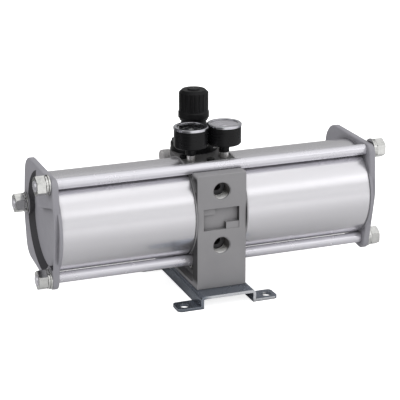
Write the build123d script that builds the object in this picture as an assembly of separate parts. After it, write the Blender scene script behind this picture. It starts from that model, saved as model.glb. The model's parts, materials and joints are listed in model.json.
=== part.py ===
"""Twin-cylinder air pressure booster: a centre block between two tubes, three tie rods, a folded foot,
and on top a governor with its knob and two gauges.

Frame: X along the cylinders, Y away from the front (port) face, Z up. The origin lies on the plane
that the foot stands on, midway between its four holes. All sizes are in millimetres.
"""
from build123d import *
from math import cos, pi, radians, sin
import os

# Driving sizes of the whole booster
OVERALL_LENGTH = 404.0
BORE = 100.0
TUBE_WALL = 4.0
UNDER_TUBE = 26.0
BLOCK_BOTTOM_Z = 14.0
FIT_GAP = 0.1
RUN_GAP = 0.05
BORE_R = BORE / 2
TUBE_R = BORE_R + TUBE_WALL
AXIS_Z = BLOCK_BOTTOM_Z + UNDER_TUBE + TUBE_R

# Tie rods as (angle on the end view, gap to the tube), the first a little above the back horizontal
TIE_R = 6.0
TIE_RODS = ((4.0, 1.5), (122.5, 2.3), (242.6, 0.6))
TIE_HOLE_R = 6.4
TIE_END_PROUD = 1.4
NUT_AF = 19.0
NUT_THICK = 10.0
WASHER_R = 11.2
WASHER_THICK = 2.0
SPRING_WASHER_R = 10.3
SPRING_WASHER_THICK = 2.6

# Centre block
BLOCK_WIDTH = 57.0
BLOCK_FRONT_Y = 0.5 - TUBE_R
BLOCK_BACK_Y = TUBE_R + 16.0
BLOCK_TOP_Z = AXIS_Z + TUBE_R - 4.5
BLOCK_EDGE_R = 1.5
PORT_Z_LOWER = AXIS_Z - BORE_R + 18.0
PORT_Z_UPPER = AXIS_Z + BORE_R - 20.0
PORT_R = 9.3
PORT_MOUTH_R = 10.5
PORT_DEPTH = 18.0
FEED_R = 5.0
GALLERY_R = 6.0
SPIGOT_LENGTH = 6.0
ROD_CHANNEL_R = 7.0
CORNER_POCKET_DEPTH = 8.0
CORNER_POCKET_Y = (BLOCK_FRONT_Y + 2.0, BLOCK_FRONT_Y + 15.5)
CORNER_POCKET_Z = (BLOCK_TOP_Z - 19.5, BLOCK_TOP_Z - 3.5)
CORNER_POCKET_R = 2.0
SIDE_POCKET_DEPTH = 8.5
SIDE_POCKET_Y = (BLOCK_FRONT_Y + 14.0, BLOCK_BACK_Y - 36.0)
SIDE_POCKET_Z = (BLOCK_BOTTOM_Z + 3.5, BLOCK_BOTTOM_Z + 48.0)
SIDE_POCKET_CORNER_R = 4.0
REGISTER_R = TUBE_R + 2.0
REGISTER_RIM_R = TUBE_R + 1.2
REGISTER_RIM_PROUD = 1.6
PLUG_Y = BLOCK_FRONT_Y + 32.9
PLUG_Z = BLOCK_BOTTOM_Z + 17.6
PLUG_R = 4.2
PLUG_HOLE_R = 2.2
PLUG_DEPTH = 8.0
PLUG_PROUD = 4.5

# Panel sunk into the front face between the ports, with a raised pad in its lower right corner
PANEL_X = (-21.0, 20.0)
PANEL_Z = (PORT_Z_LOWER + 18.5, PORT_Z_UPPER - 19.0)
PANEL_DEPTH = 5.5
PANEL_STEP_DEPTH = 3.0
PANEL_PAD_DEPTH = 0.7
PANEL_PAD_X = (5.0, 20.0)
PANEL_PAD_Z = (PANEL_Z[0], PANEL_Z[0] + 7.5)
PANEL_STEP_X = (-21.0, -7.0)
PANEL_STEP_Z = (PANEL_Z[1] - 7.5, PANEL_Z[1])

# End covers
HALF_LENGTH = OVERALL_LENGTH / 2
COVER_THICK = 7.0
COVER_OUTER_X = HALF_LENGTH - TIE_END_PROUD - NUT_THICK - SPRING_WASHER_THICK - WASHER_THICK
COVER_INNER_X = COVER_OUTER_X - COVER_THICK
COVER_SPIGOT_LENGTH = 6.0
COVER_EDGE_CHAMFER = 1.0
COVER_RIM = 2.2
POCKET_R = TUBE_R + 2.5
POCKET_FLOOR_R = BORE_R - 0.5
POCKET_DEPTH = 5.8
COLLAR_R = TUBE_R + 1.5
COLLAR_PROUD = 1.0
COLLAR_BACK = 2.5
# Outline corners as (Y, Z from the cylinder axis, corner radius), front top first
COVER_CORNERS = (
    (7.5 - TUBE_R, TUBE_R + 5.8, 9.0),
    (TUBE_R + 9.5, TUBE_R + 5.8, 26.0),
    (TUBE_R + 22.0, -9.0, 60.0),
    (TUBE_R + 14.0, -TUBE_R - 3.0, 19.0),
    (16.5 - TUBE_R, -TUBE_R - 13.0, 12.0),
    (2.5 - TUBE_R, 4.0, 60.0),
)
# Web that carries the front top nut across the pocket, as (Y, Z from the cylinder axis)
POCKET_WEB = ((-70.0, 31.0), (-40.0, 28.5), (14.0, 13.0), (22.0, 29.0), (12.0, 71.0), (-70.0, 71.0))
TIE_BOSS_R = 13.5

# Transfer tubes behind and below the cylinders
TRANSFER_Y = TUBE_R - 9.0
TRANSFER_DROP = TUBE_R - 10.0
TRANSFER_R = 5.0
TRANSFER_BORE_R = 3.5
TRANSFER_SOCKET = 4.0

# Foot: a folded channel with four outward tabs
FOOT_LENGTH = 116.0
FOOT_WIDTH = 150.0
FOOT_HOLE_INSET = 10.0
FOOT_PITCH_X = FOOT_LENGTH - 2 * FOOT_HOLE_INSET
FOOT_PITCH_Y = FOOT_WIDTH - 2 * FOOT_HOLE_INSET
FOOT_HOLE_R = 5.5
FOOT_PLATE = 3.2
FOOT_WALL_X = 32.0
FOOT_TAB_WIDTH = 22.0
FOOT_BEND_R = 4.6
FOOT_TAB_CORNER_R = 5.0
FOOT_SCREW_X = 20.0
FOOT_SCREW_Y = (BLOCK_FRONT_Y + 9.5, BLOCK_BACK_Y - 12.0)
FOOT_SCREW_R = 4.0
FOOT_SCREW_DEPTH = 12.0
FOOT_SCREW_HEAD_AF = 13.0
FOOT_SCREW_HEAD = 5.3

# Moving piston set
PISTON_THICK = 26.0
STROKE_END_GAP = 0.25
STROKE_OUTER_GAP = 2.25
PISTON_ROD_R = 12.5
ROD_END_R = 10.0
PISTON_NUT_AF = 30.0
PISTON_NUT_THICK = 9.0
SEAL_WIDTH = 5.0
SEAL_DEPTH = 5.0
BUSH_R = 16.0
BUSH_LENGTH = 38.0
ROD_SEAL_R = 19.0
ROD_SEAL_WIDTH = 6.0

# O-rings that seal the tubes on their spigots
TUBE_SEAL_WIDTH = 3.0
TUBE_SEAL_DEPTH = 2.4
TUBE_SEAL_SETBACK = 1.5

# Check valves: inlet pair on the lower gallery, outlet pair on the upper one
CHECK_Y = -16.0
CHECK_BORE_R = 9.0
CHECK_DEPTH = 15.0
CHECK_POPPET_R = 7.6
CHECK_POPPET_THICK = 4.0
CHECK_STEM_R = 2.5
CHECK_LIFT = 2.0
CHECK_RING_THICK = 3.0
CHECK_RING_HOLE_R = 5.0

# Changeover valve: sleeve, spool, and a push pin in each end cap
SWITCH_Y = 28.0
SWITCH_Z = AXIS_Z - 19.0
SWITCH_SLEEVE_R = 11.0
SWITCH_SLEEVE_BORE_R = 7.0
SWITCH_SLEEVE_LENGTH = 44.0
SPOOL_LENGTH = 30.0
SPOOL_WAIST_R = 4.0
SPOOL_LAND = 6.0
CAP_R = 11.0
PIN_R = 2.0
PIN_PROUD = 2.0
PIN_HEAD_R = 5.0
PIN_HEAD_THICK = 1.5

# Governor: base plate, bonnet, diaphragm, range spring and knob
GOVERNOR_Y = 33.0
PLATE_THICK = 5.0
PLATE_TOP_Z = BLOCK_TOP_Z + PLATE_THICK
PLATE_FRONT_GAP = 0.5
PLATE_CORNER_R = 1.5
SCREW_M5_R = 2.5
SCREW_M5_HEAD_R = 4.25
SCREW_M5_HEAD = 3.0
SCREW_M5_HEX_AF = 3.0
DIAPHRAGM_R = 20.0
DIAPHRAGM_THICK = 1.5
DIAPHRAGM_CHAMBER_R = 16.0
BONNET_SCREW_PITCH_R = DIAPHRAGM_R + SCREW_M5_R
BONNET_SCREW_COUNT = 4
BONNET_SCREW_LENGTH = 10.0
BONNET_FLANGE_R = BONNET_SCREW_PITCH_R + SCREW_M5_R + 1.0
BONNET_FLANGE_TOP_Z = PLATE_TOP_Z + 9.0
BONNET_TAPER_R = 19.0
BONNET_TAPER_TOP = 31.5
BONNET_HEIGHT = 43.5
BONNET_NECK_R = 14.0
BONNET_NECK_Z = PLATE_TOP_Z + BONNET_TAPER_TOP
BONNET_TOP_Z = PLATE_TOP_Z + BONNET_HEIGHT
BONNET_BORE_R = 11.0
BONNET_ROOF = 5.0
PLATE_BACK_R = BONNET_FLANGE_R + 0.5
BOSS_R = BONNET_FLANGE_R
BOSS_HEIGHT = 15.5
RANGE_SPRING_R = 8.0
RANGE_SPRING_WIRE = 2.0
RANGE_SPRING_TURNS = 5.0
SPRING_SEAT_R = 10.5
SPRING_SEAT_THICK = 5.0
SPRING_SEAT_RISE = 25.5
SPRING_SEAT_Z = PLATE_TOP_Z + SPRING_SEAT_RISE
SPRING_PILOT_R = 6.5
SEAT_KEY_R = 12.0
SEAT_KEY_WIDTH = 3.0
SCREW_R = 4.0
SCREW_COLLAR_R = 7.0
KNOB_R = 16.4
KNOB_OVERLAP = 10.0
KNOB_HEIGHT = 34.0
KNOB_BOTTOM_Z = BONNET_TOP_Z - KNOB_OVERLAP
KNOB_TOP_Z = KNOB_BOTTOM_Z + KNOB_HEIGHT
KNOB_CAP_R = 7.0
KNOB_CAP_HEIGHT = 1.3
KNOB_SHOULDER = 3.2
KNOB_RING_R = 17.2
KNOB_RING_RISE = 3.1
KNOB_RING_HEIGHT = 5.8
KNOB_RING_Z = (KNOB_BOTTOM_Z + KNOB_RING_RISE, KNOB_BOTTOM_Z + KNOB_RING_RISE + KNOB_RING_HEIGHT)
KNOB_FLUTES = 20
KNOB_FLUTE_R = 1.2
KNOB_BORE_R = 14.3
KNOB_HEX_AF = 11.0
KNOB_HEX_LENGTH = 17.0
GOVERNOR_BORE_R = 8.0
GOVERNOR_BORE_DEPTH = 24.0
GOVERNOR_SEAT_R = 5.0
GOVERNOR_STEM_R = 1.5
GOVERNOR_DISC_R = 6.5
GOVERNOR_DISC_THICK = 4.0

# Gauges: two alike, side by side in front of the governor
GAUGE_X = 19.5
GAUGE_Y = -10.0
GAUGE_R = 18.6
GAUGE_WALL = 1.2
GAUGE_BOTTOM_R = 17.3
GAUGE_BEZEL_R = 19.1
GAUGE_TOP_Z = PLATE_TOP_Z + 38.5
GAUGE_BEZEL_HEIGHT = 2.8
GAUGE_BEZEL_INNER_R = 15.0
GAUGE_BEZEL_LIP = 0.9
GAUGE_LENS_THICK = 1.6
GAUGE_SHOULDER_Z = PLATE_TOP_Z + 16.8
GAUGE_BASE_Z = PLATE_TOP_Z + 15.4
GAUGE_STUB_R = 5.7
GAUGE_STUB_Z = PLATE_TOP_Z + 6.2
GAUGE_NIPPLE_R = 4.8
GAUGE_NIPPLE_DEPTH = 12.0
GAUGE_DIAL_Z = GAUGE_TOP_Z - 7.0
GAUGE_DIAL_THICK = 0.8
GAUGE_HUB_R = 2.2
GAUGE_SPINDLE_R = 0.9
GAUGE_POINTER_LENGTH = 10.5
GAUGE_POINTER_TAIL = 4.0
GAUGE_POINTER_WIDTH = 1.6
GAUGE_POINTER_START = 225.0
BOURDON_R = 11.5
BOURDON_SECTION = (2.0, 5.0)
BOURDON_SWEEP = 250.0
BOURDON_Z = GAUGE_DIAL_Z - 10.0

# Small pieces on and beside the governor plate
PLATE_SCREWS = ((0.0, -19.5), (-24.0, 1.0), (24.0, 1.0))
PLATE_SCREW_LENGTH = 12.0
CLIP_WIRE_R = 0.8
CLIP_X = 16.3
CLIP_Y = -3.0
CLIP_RISE = 9.2
SILENCER_Y = GOVERNOR_Y + 13.0
SILENCER_Z = BLOCK_TOP_Z - 5.5
SILENCER_R = 8.0
SILENCER_X = (-34.6, -24.0)
SILENCER_SEAT_R = SILENCER_R + 0.3
SILENCER_THREAD_R = 4.8
SILENCER_THREAD_END = -13.0
SILENCER_BORE_R = 3.0

# Values worked out from the sizes above
HALF_BLOCK = BLOCK_WIDTH / 2
SPIGOT_R = BORE_R - FIT_GAP
SPIGOT_X = HALF_BLOCK + SPIGOT_LENGTH
COVER_SPIGOT_X = COVER_INNER_X - COVER_SPIGOT_LENGTH
TRANSFER_Z = AXIS_Z - TRANSFER_DROP
STROKE_ROOM = COVER_SPIGOT_X - SPIGOT_X - PISTON_THICK - PIN_PROUD - STROKE_END_GAP - STROKE_OUTER_GAP
PISTON_STROKE = STROKE_ROOM / 2
PISTON_INNER_X = SPIGOT_X + PIN_PROUD + STROKE_END_GAP + PISTON_STROKE
PISTON_OUTER_X = PISTON_INNER_X + PISTON_THICK
CHECK_STEM_LENGTH = CHECK_DEPTH - CHECK_RING_THICK - CHECK_POPPET_THICK - CHECK_LIFT - 0.5
FRONT_ROD_Y = (TUBE_R + TIE_RODS[1][1] + TIE_R) * cos(radians(TIE_RODS[1][0]))
PLATE_FRONT_Y = FRONT_ROD_Y + ROD_CHANNEL_R + PLATE_FRONT_GAP
SIDES = {"left": -1, "right": 1}
GAUGES = {"left": -GAUGE_X, "right": GAUGE_X}

parts = {}


def tie_places():
    """Centres of the tie rods as (Y, Z)."""
    places = []
    for angle, gap in TIE_RODS:
        pitch_r = TUBE_R + gap + TIE_R
        places.append((pitch_r * cos(radians(angle)), AXIS_Z + pitch_r * sin(radians(angle))))
    return places


def bar_x(radius, start, end, y=0.0, z=AXIS_Z):
    """Round bar along X between two stations."""
    low, high = min(start, end), max(start, end)
    return Pos((low + high) / 2, y, z) * Rot(0, 90, 0) * Cylinder(radius, high - low)


def bar_y(radius, start, end, x, z):
    """Round bar along Y between two stations."""
    low, high = min(start, end), max(start, end)
    return Pos(x, (low + high) / 2, z) * Rot(90, 0, 0) * Cylinder(radius, high - low)


def bar_z(radius, start, end, x=0.0, y=0.0):
    """Round bar along Z between two heights."""
    low, high = min(start, end), max(start, end)
    return Pos(x, y, (low + high) / 2) * Cylinder(radius, high - low)


def ring_x(outer, inner, start, end, y=0.0, z=AXIS_Z):
    return bar_x(outer, start, end, y, z) - bar_x(inner, start, end, y, z)


def ring_z(outer, inner, start, end, x=0.0, y=0.0):
    return bar_z(outer, start, end, x, y) - bar_z(inner, start, end, x, y)


def slab(x, y, z):
    """Box between the low and high value given for each axis."""
    size = [high - low for low, high in (x, y, z)]
    middle = [(low + high) / 2 for low, high in (x, y, z)]
    return Pos(*middle) * Box(*size)


def hex_prism(across_flats, height, turn=0.0):
    """Hexagonal bar standing on the origin."""
    return extrude(RegularPolygon(across_flats / 2, 6, major_radius=False, rotation=turn), height)


def along_x(solid, x, y, z, side=1):
    """Puts a solid that stands on the origin so that it points out along X on the given side."""
    return Pos(x, y, z) * Rot(0, 90 * side, 0) * solid


def spun_z(points, x=0.0, y=0.0):
    """Turned piece from an outline of (radius, Z) points."""
    outline = make_face(Polyline(*[(r, 0, z) for r, z in points], close=True))
    return Pos(x, y, 0) * revolve(outline, Axis.Z)


def both_sides(make):
    """Builds one solid for each side of the block."""
    return [make(side) for side in SIDES.values()]


def group(solids):
    """Several separate solids kept together as one sub-part."""
    return Compound(children=[s if isinstance(s, Solid) else s.solid() for s in solids])


def cavity_for_check(side, z):
    """Stepped bore for one check valve, open at the spigot's face."""
    mouth = side * (SPIGOT_X + 1)
    bottom = side * (SPIGOT_X - CHECK_DEPTH)
    return bar_x(CHECK_BORE_R, mouth, bottom, CHECK_Y, z)


def center_block():
    """Cast block with both registers, the ports, the galleries and the bores of every valve."""
    body = slab((-HALF_BLOCK, HALF_BLOCK), (BLOCK_FRONT_Y, BLOCK_BACK_Y), (BLOCK_BOTTOM_Z, BLOCK_TOP_Z))
    body = fillet(body.edges().filter_by(Axis.Z), BLOCK_EDGE_R)
    top_front = body.edges().group_by(Axis.Z)[-1].group_by(Axis.Y)[0]
    body = fillet(top_front, BLOCK_EDGE_R)
    boss_z = BLOCK_TOP_Z - BOSS_HEIGHT
    behind = (GOVERNOR_Y, BLOCK_BACK_Y + 1)
    shoulder = slab((-HALF_BLOCK - 1, HALF_BLOCK + 1), behind, (boss_z, BLOCK_TOP_Z + 1))
    body -= shoulder - bar_z(BOSS_R, boss_z, BLOCK_TOP_Z + 1, 0, GOVERNOR_Y)
    for side in SIDES.values():
        rim_end = side * (HALF_BLOCK + REGISTER_RIM_PROUD)
        body += ring_x(REGISTER_RIM_R, TUBE_R + FIT_GAP, side * HALF_BLOCK, rim_end)
        body += bar_x(SPIGOT_R, side * HALF_BLOCK, side * SPIGOT_X)
        groove = side * (HALF_BLOCK + TUBE_SEAL_SETBACK)
        body -= ring_x(SPIGOT_R + 1, SPIGOT_R - TUBE_SEAL_DEPTH, groove, groove + side * TUBE_SEAL_WIDTH)

    # Front ports, each drilled on to its gallery
    for z in (PORT_Z_LOWER, PORT_Z_UPPER):
        mouth = BLOCK_FRONT_Y
        body -= bar_y(PORT_R, mouth - 1, mouth + PORT_DEPTH, 0, z)
        cone = Cone(PORT_MOUTH_R, PORT_R, PORT_MOUTH_R - PORT_R)
        body -= Pos(0, mouth + (PORT_MOUTH_R - PORT_R) / 2, z) * Rot(-90, 0, 0) * cone
        body -= bar_y(FEED_R, mouth, CHECK_Y, 0, z)
        body -= bar_x(GALLERY_R, -SPIGOT_X, SPIGOT_X, CHECK_Y, z)
        for side in SIDES.values():
            body -= cavity_for_check(side, z)
    body -= front_panel()
    for side in SIDES.values():
        body -= side_pocket(side, SIDE_POCKET_DEPTH, SIDE_POCKET_Y, SIDE_POCKET_Z, SIDE_POCKET_CORNER_R)
        body -= side_pocket(side, CORNER_POCKET_DEPTH, CORNER_POCKET_Y, CORNER_POCKET_Z, CORNER_POCKET_R)

    # Tie rods: an open channel at the front top, plain holes for the other two
    for y, z in tie_places():
        if z > BLOCK_TOP_Z:
            span = (-HALF_BLOCK - 1, HALF_BLOCK + 1)
            body -= bar_x(ROD_CHANNEL_R, *span, y, z)
            body -= slab(span, (y - ROD_CHANNEL_R, y + ROD_CHANNEL_R), (z, z + 20))
        else:
            body -= bar_x(TIE_HOLE_R, -SPIGOT_X - 1, SPIGOT_X + 1, y, z)

    # Rod bush with a seal pocket at each end
    body -= bar_x(BUSH_R, -SPIGOT_X - 1, SPIGOT_X + 1)
    for side in SIDES.values():
        body -= bar_x(ROD_SEAL_R, side * BUSH_LENGTH / 2, side * (BUSH_LENGTH / 2 + ROD_SEAL_WIDTH))

    # Changeover valve bore, governor bore and the drillings between them
    body -= bar_x(SWITCH_SLEEVE_R, -HALF_BLOCK - 1, HALF_BLOCK + 1, SWITCH_Y, SWITCH_Z)
    body -= bar_x(PIN_R + 1, -SPIGOT_X - 1, SPIGOT_X + 1, SWITCH_Y, SWITCH_Z)
    body -= bar_z(GOVERNOR_BORE_R, BLOCK_TOP_Z + 1, BLOCK_TOP_Z - GOVERNOR_BORE_DEPTH, 0, GOVERNOR_Y)
    body -= bar_z(3.0, BLOCK_TOP_Z, SWITCH_Z, 0, GOVERNOR_Y)
    for x in GAUGES.values():
        body -= bar_z(GAUGE_NIPPLE_R, BLOCK_TOP_Z + 1, PLATE_TOP_Z - GAUGE_NIPPLE_DEPTH, x, GAUGE_Y)

    # Exhaust, plugged drilling, transfer sockets and screw holes
    pocket_floor = SIDE_POCKET_DEPTH - HALF_BLOCK
    body -= bar_x(PLUG_R, pocket_floor - 1, pocket_floor + PLUG_DEPTH, PLUG_Y, PLUG_Z)
    exhaust_end = SILENCER_THREAD_END + 1
    body -= bar_x(SILENCER_THREAD_R, -HALF_BLOCK, exhaust_end, SILENCER_Y, SILENCER_Z)
    body -= silencer_seat()
    for side in SIDES.values():
        socket = side * (HALF_BLOCK - 6)
        body -= bar_x(TRANSFER_R, side * (HALF_BLOCK + 1), socket, TRANSFER_Y, TRANSFER_Z)
        body -= bar_x(TRANSFER_BORE_R, socket, socket - side * 8, TRANSFER_Y, TRANSFER_Z)
    for x in (-FOOT_SCREW_X, FOOT_SCREW_X):
        for y in FOOT_SCREW_Y:
            body -= bar_z(FOOT_SCREW_R, BLOCK_BOTTOM_Z - 1, BLOCK_BOTTOM_Z + FOOT_SCREW_DEPTH + 1, x, y)
    for x, y in PLATE_SCREWS:
        body -= bar_z(SCREW_M5_R, BLOCK_TOP_Z + 1, PLATE_TOP_Z - PLATE_SCREW_LENGTH - 1, x, y)
    return body


def silencer_seat():
    """Flat sunk into the round boss and the plate over it, for the silencer's shoulder."""
    return bar_x(SILENCER_SEAT_R, -HALF_BLOCK - 1, SILENCER_X[1], SILENCER_Y, SILENCER_Z)


def drilling_plug():
    """Hollow-ended plug that stands up from the floor of the left side pocket."""
    floor = SIDE_POCKET_DEPTH - HALF_BLOCK
    plug = bar_x(PLUG_R, floor - PLUG_PROUD, floor + PLUG_DEPTH, PLUG_Y, PLUG_Z)
    return plug - bar_x(PLUG_HOLE_R, floor - PLUG_PROUD - 1, floor - 1, PLUG_Y, PLUG_Z)


def side_pocket(side, depth, y, z, corner_r):
    """Cast pocket in a side face, outside the round register of the tube."""
    x = sorted((side * (HALF_BLOCK - depth), side * (HALF_BLOCK + 1)))
    pocket = slab(x, y, z)
    pocket = fillet(pocket.edges().filter_by(Axis.X), corner_r)
    return pocket - bar_x(REGISTER_R, side * 10, side * (HALF_BLOCK + 2))


def front_panel():
    """The recess in the front face, as the solid that is taken away."""
    depth = (BLOCK_FRONT_Y - 1, BLOCK_FRONT_Y + PANEL_DEPTH)
    recess = slab(PANEL_X, depth, PANEL_Z)
    pad = (BLOCK_FRONT_Y + PANEL_PAD_DEPTH, BLOCK_FRONT_Y + PANEL_DEPTH)
    recess -= slab(PANEL_PAD_X, pad, PANEL_PAD_Z)
    step = (BLOCK_FRONT_Y + PANEL_STEP_DEPTH, BLOCK_FRONT_Y + PANEL_DEPTH)
    recess -= slab(PANEL_STEP_X, step, PANEL_STEP_Z)
    return recess


def cylinder_tube(side):
    return ring_x(TUBE_R, BORE_R, side * HALF_BLOCK, side * COVER_INNER_X)


def cover_outline():
    """Shield outline of an end cover in the YZ plane: flat top, bulging sides, round corners."""
    corners = [(y, z + AXIS_Z) for y, z, _ in COVER_CORNERS]
    face = Plane.YZ * make_face(Polyline(*corners, close=True))
    for y, z, radius in COVER_CORNERS:
        corner = face.vertices().sort_by_distance((0, y, z + AXIS_Z))[0]
        face = fillet(corner, radius)
    return face


def cover_pocket():
    """Shallow tapered pocket in a cover's outer face, less the bosses and the web of the rods."""
    mouth_r = POCKET_R + (POCKET_R - POCKET_FLOOR_R) / POCKET_DEPTH
    cone = Cone(POCKET_FLOOR_R, mouth_r, POCKET_DEPTH + 1)
    middle = COVER_OUTER_X - POCKET_DEPTH + (POCKET_DEPTH + 1) / 2
    pocket = Pos(middle, 0, AXIS_Z) * Rot(0, 90, 0) * cone
    web = Plane.YZ * make_face(Polyline(*[(y, z + AXIS_Z) for y, z in POCKET_WEB], close=True))
    pocket -= Pos(COVER_OUTER_X - 2 * POCKET_DEPTH, 0, 0) * extrude(web, 4 * POCKET_DEPTH)
    for y, z in tie_places():
        pocket -= bar_x(TIE_BOSS_R, COVER_INNER_X, COVER_OUTER_X + 5, y, z)
    inside = extrude(offset(cover_outline(), -COVER_RIM), 4 * POCKET_DEPTH)
    return pocket & Pos(COVER_OUTER_X - 2 * POCKET_DEPTH, 0, 0) * inside


def end_cover(side):
    """Die-cast end cover with its register, pocket, rod holes and transfer socket."""
    cover = Pos(COVER_INNER_X, 0, 0) * extrude(cover_outline(), COVER_OUTER_X - COVER_INNER_X)
    faces = cover.faces().filter_by(Axis.X).sort_by(Axis.X)
    cover = chamfer(faces[0].outer_wire().edges() + faces[-1].outer_wire().edges(), COVER_EDGE_CHAMFER)
    cover += bar_x(COLLAR_R, COVER_INNER_X - COLLAR_PROUD, COVER_INNER_X + COLLAR_BACK)
    cover -= bar_x(TUBE_R + FIT_GAP, COVER_INNER_X - COLLAR_PROUD - 1, COVER_INNER_X)
    cover += bar_x(SPIGOT_R, COVER_SPIGOT_X, COVER_INNER_X + 1)
    groove = COVER_INNER_X - TUBE_SEAL_SETBACK
    cover -= ring_x(SPIGOT_R + FIT_GAP, SPIGOT_R - TUBE_SEAL_DEPTH, groove, groove - TUBE_SEAL_WIDTH)
    cover -= cover_pocket()
    for y, z in tie_places():
        cover -= bar_x(TIE_HOLE_R, COVER_INNER_X - COLLAR_PROUD - 1, COVER_OUTER_X + 1, y, z)
    socket_end = COVER_INNER_X + TRANSFER_SOCKET
    cover -= bar_x(TRANSFER_R, COVER_INNER_X - 1, socket_end, TRANSFER_Y, TRANSFER_Z)
    if side < 0:
        cover = mirror(cover, about=Plane.YZ)
    return cover


def tie_rods():
    rods = []
    for y, z in tie_places():
        rod = bar_x(TIE_R, -HALF_LENGTH, HALF_LENGTH, y, z)
        ends = rod.edges().filter_by(GeomType.CIRCLE)
        rods.append(chamfer(ends, 1.0))
    return group(rods)


def stack_at_rods(make, start):
    """One piece at each end of each tie rod, pointing outward from the given distance."""
    return group(
        along_x(make(), side * start, y, z, side) for y, z in tie_places() for side in SIDES.values()
    )


def hex_nut(across_flats, thick, hole_r):
    """Hexagon nut standing on the origin, its outer corners bevelled as on a real one."""
    nut = hex_prism(across_flats, thick)
    corner_r = across_flats / 2 / cos(radians(30))
    bevel = 0.16 * across_flats
    nut &= Pos(0, 0, thick / 2) * Cone(corner_r + bevel, corner_r - 0.6, thick)
    return nut - Cylinder(hole_r, 4 * thick)


def spring_washer():
    """Split spring washer standing on the origin."""
    ring = Cylinder(SPRING_WASHER_R, SPRING_WASHER_THICK) - Cylinder(TIE_R + 0.2, 2 * SPRING_WASHER_THICK)
    ring = Pos(0, 0, SPRING_WASHER_THICK / 2) * ring
    return ring - Pos(SPRING_WASHER_R, 0, SPRING_WASHER_THICK / 2) * Rot(25, 0, 0) * Box(12, 1.2, 9)


def plain_washer():
    washer = Cylinder(WASHER_R, WASHER_THICK) - Cylinder(TIE_R + 0.3, 2 * WASHER_THICK)
    return Pos(0, 0, WASHER_THICK / 2) * washer


def tube_seals():
    """O-rings in the grooves of all four spigots."""
    seals = []
    for side in SIDES.values():
        for start, step in ((HALF_BLOCK + TUBE_SEAL_SETBACK, 1), (COVER_INNER_X - TUBE_SEAL_SETBACK, -1)):
            end = start + step * TUBE_SEAL_WIDTH
            seals.append(ring_x(BORE_R - 0.02, SPIGOT_R - TUBE_SEAL_DEPTH, side * start, side * end))
    return group(seals)


def transfer_tubes():
    start, end = HALF_BLOCK - 6, COVER_INNER_X + TRANSFER_SOCKET
    return group(
        both_sides(
            lambda side: ring_x(TRANSFER_R, TRANSFER_BORE_R, side * start, side * end, TRANSFER_Y, TRANSFER_Z)
        )
    )


def foot_section():
    """Cross-section of the folded channel: top plate, two walls and the start of the tabs."""
    wall = FOOT_WALL_X
    outer = Polyline(
        (-wall, 0), (-wall, BLOCK_BOTTOM_Z), (wall, BLOCK_BOTTOM_Z), (wall, 0),
        (wall - FOOT_PLATE, 0), (wall - FOOT_PLATE, BLOCK_BOTTOM_Z - FOOT_PLATE),
        (FOOT_PLATE - wall, BLOCK_BOTTOM_Z - FOOT_PLATE), (FOOT_PLATE - wall, 0), close=True,
    )
    face = Plane.XZ * make_face(outer)
    tops = [v for v in face.vertices() if v.Z > BLOCK_BOTTOM_Z - 0.01]
    face = fillet(tops, FOOT_BEND_R)
    inner = [v for v in face.vertices() if abs(v.Z - BLOCK_BOTTOM_Z + FOOT_PLATE) < 0.01]
    return fillet(inner, FOOT_BEND_R - FOOT_PLATE)


def foot_bracket():
    """Folded steel foot: channel under the block with a drilled tab at each corner."""
    half = FOOT_WIDTH / 2
    foot = Pos(0, half, 0) * extrude(foot_section(), FOOT_WIDTH, dir=(0, -1, 0))
    for sx in (-1, 1):
        for sy in (-1, 1):
            inner_x, outer_x = sx * (FOOT_WALL_X - FOOT_PLATE), sx * FOOT_LENGTH / 2
            near_y, far_y = sy * (half - FOOT_TAB_WIDTH), sy * half
            tab = slab(sorted((inner_x, outer_x)), sorted((near_y, far_y)), (0, FOOT_PLATE))
            outer_edges = [
                e for e in tab.edges().filter_by(Axis.Z) if abs(e.center().X - outer_x) < 0.01
            ]
            foot += fillet(outer_edges, FOOT_TAB_CORNER_R)
    for x in (-FOOT_PITCH_X / 2, FOOT_PITCH_X / 2):
        for y in (-FOOT_PITCH_Y / 2, FOOT_PITCH_Y / 2):
            foot -= bar_z(FOOT_HOLE_R, -1, FOOT_PLATE + 1, x, y)
    for x in (-FOOT_SCREW_X, FOOT_SCREW_X):
        for y in FOOT_SCREW_Y:
            foot -= bar_z(FOOT_SCREW_R + 0.5, BLOCK_BOTTOM_Z - FOOT_PLATE - 1, BLOCK_BOTTOM_Z + 1, x, y)
    return foot


def foot_screws():
    """Hexagon screws that hold the block to the foot from below."""
    screws = []
    under = BLOCK_BOTTOM_Z - FOOT_PLATE
    for x in (-FOOT_SCREW_X, FOOT_SCREW_X):
        for y in FOOT_SCREW_Y:
            head = Pos(x, y, under - FOOT_SCREW_HEAD) * hex_prism(FOOT_SCREW_HEAD_AF, FOOT_SCREW_HEAD)
            screws.append(head + bar_z(FOOT_SCREW_R, under - 1, BLOCK_BOTTOM_Z + FOOT_SCREW_DEPTH, x, y))
    return group(screws)


def piston(side):
    """Piston with a seal groove and a pocket for the rod nut."""
    inner, outer = PISTON_INNER_X, PISTON_OUTER_X
    body = bar_x(BORE_R - RUN_GAP, inner, outer)
    ends = body.edges().filter_by(GeomType.CIRCLE)
    body = chamfer(ends, 1.0)
    seal = outer - 4
    body -= ring_x(BORE_R + 1, BORE_R - SEAL_DEPTH, seal - SEAL_WIDTH, seal)
    body -= bar_x(ROD_END_R, inner - 1, outer + 1)
    body -= bar_x(PISTON_NUT_AF / 2 + 4, outer - PISTON_NUT_THICK - 2, outer + 1)
    return mirror(body, about=Plane.YZ) if side < 0 else body


def piston_seals():
    """One seal ring in each piston's groove, just clear of the tube."""
    start = PISTON_OUTER_X - 4 - SEAL_WIDTH
    return group(
        both_sides(
            lambda side: ring_x(BORE_R - 0.02, BORE_R - SEAL_DEPTH, side * start, side * (start + SEAL_WIDTH))
        )
    )


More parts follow.
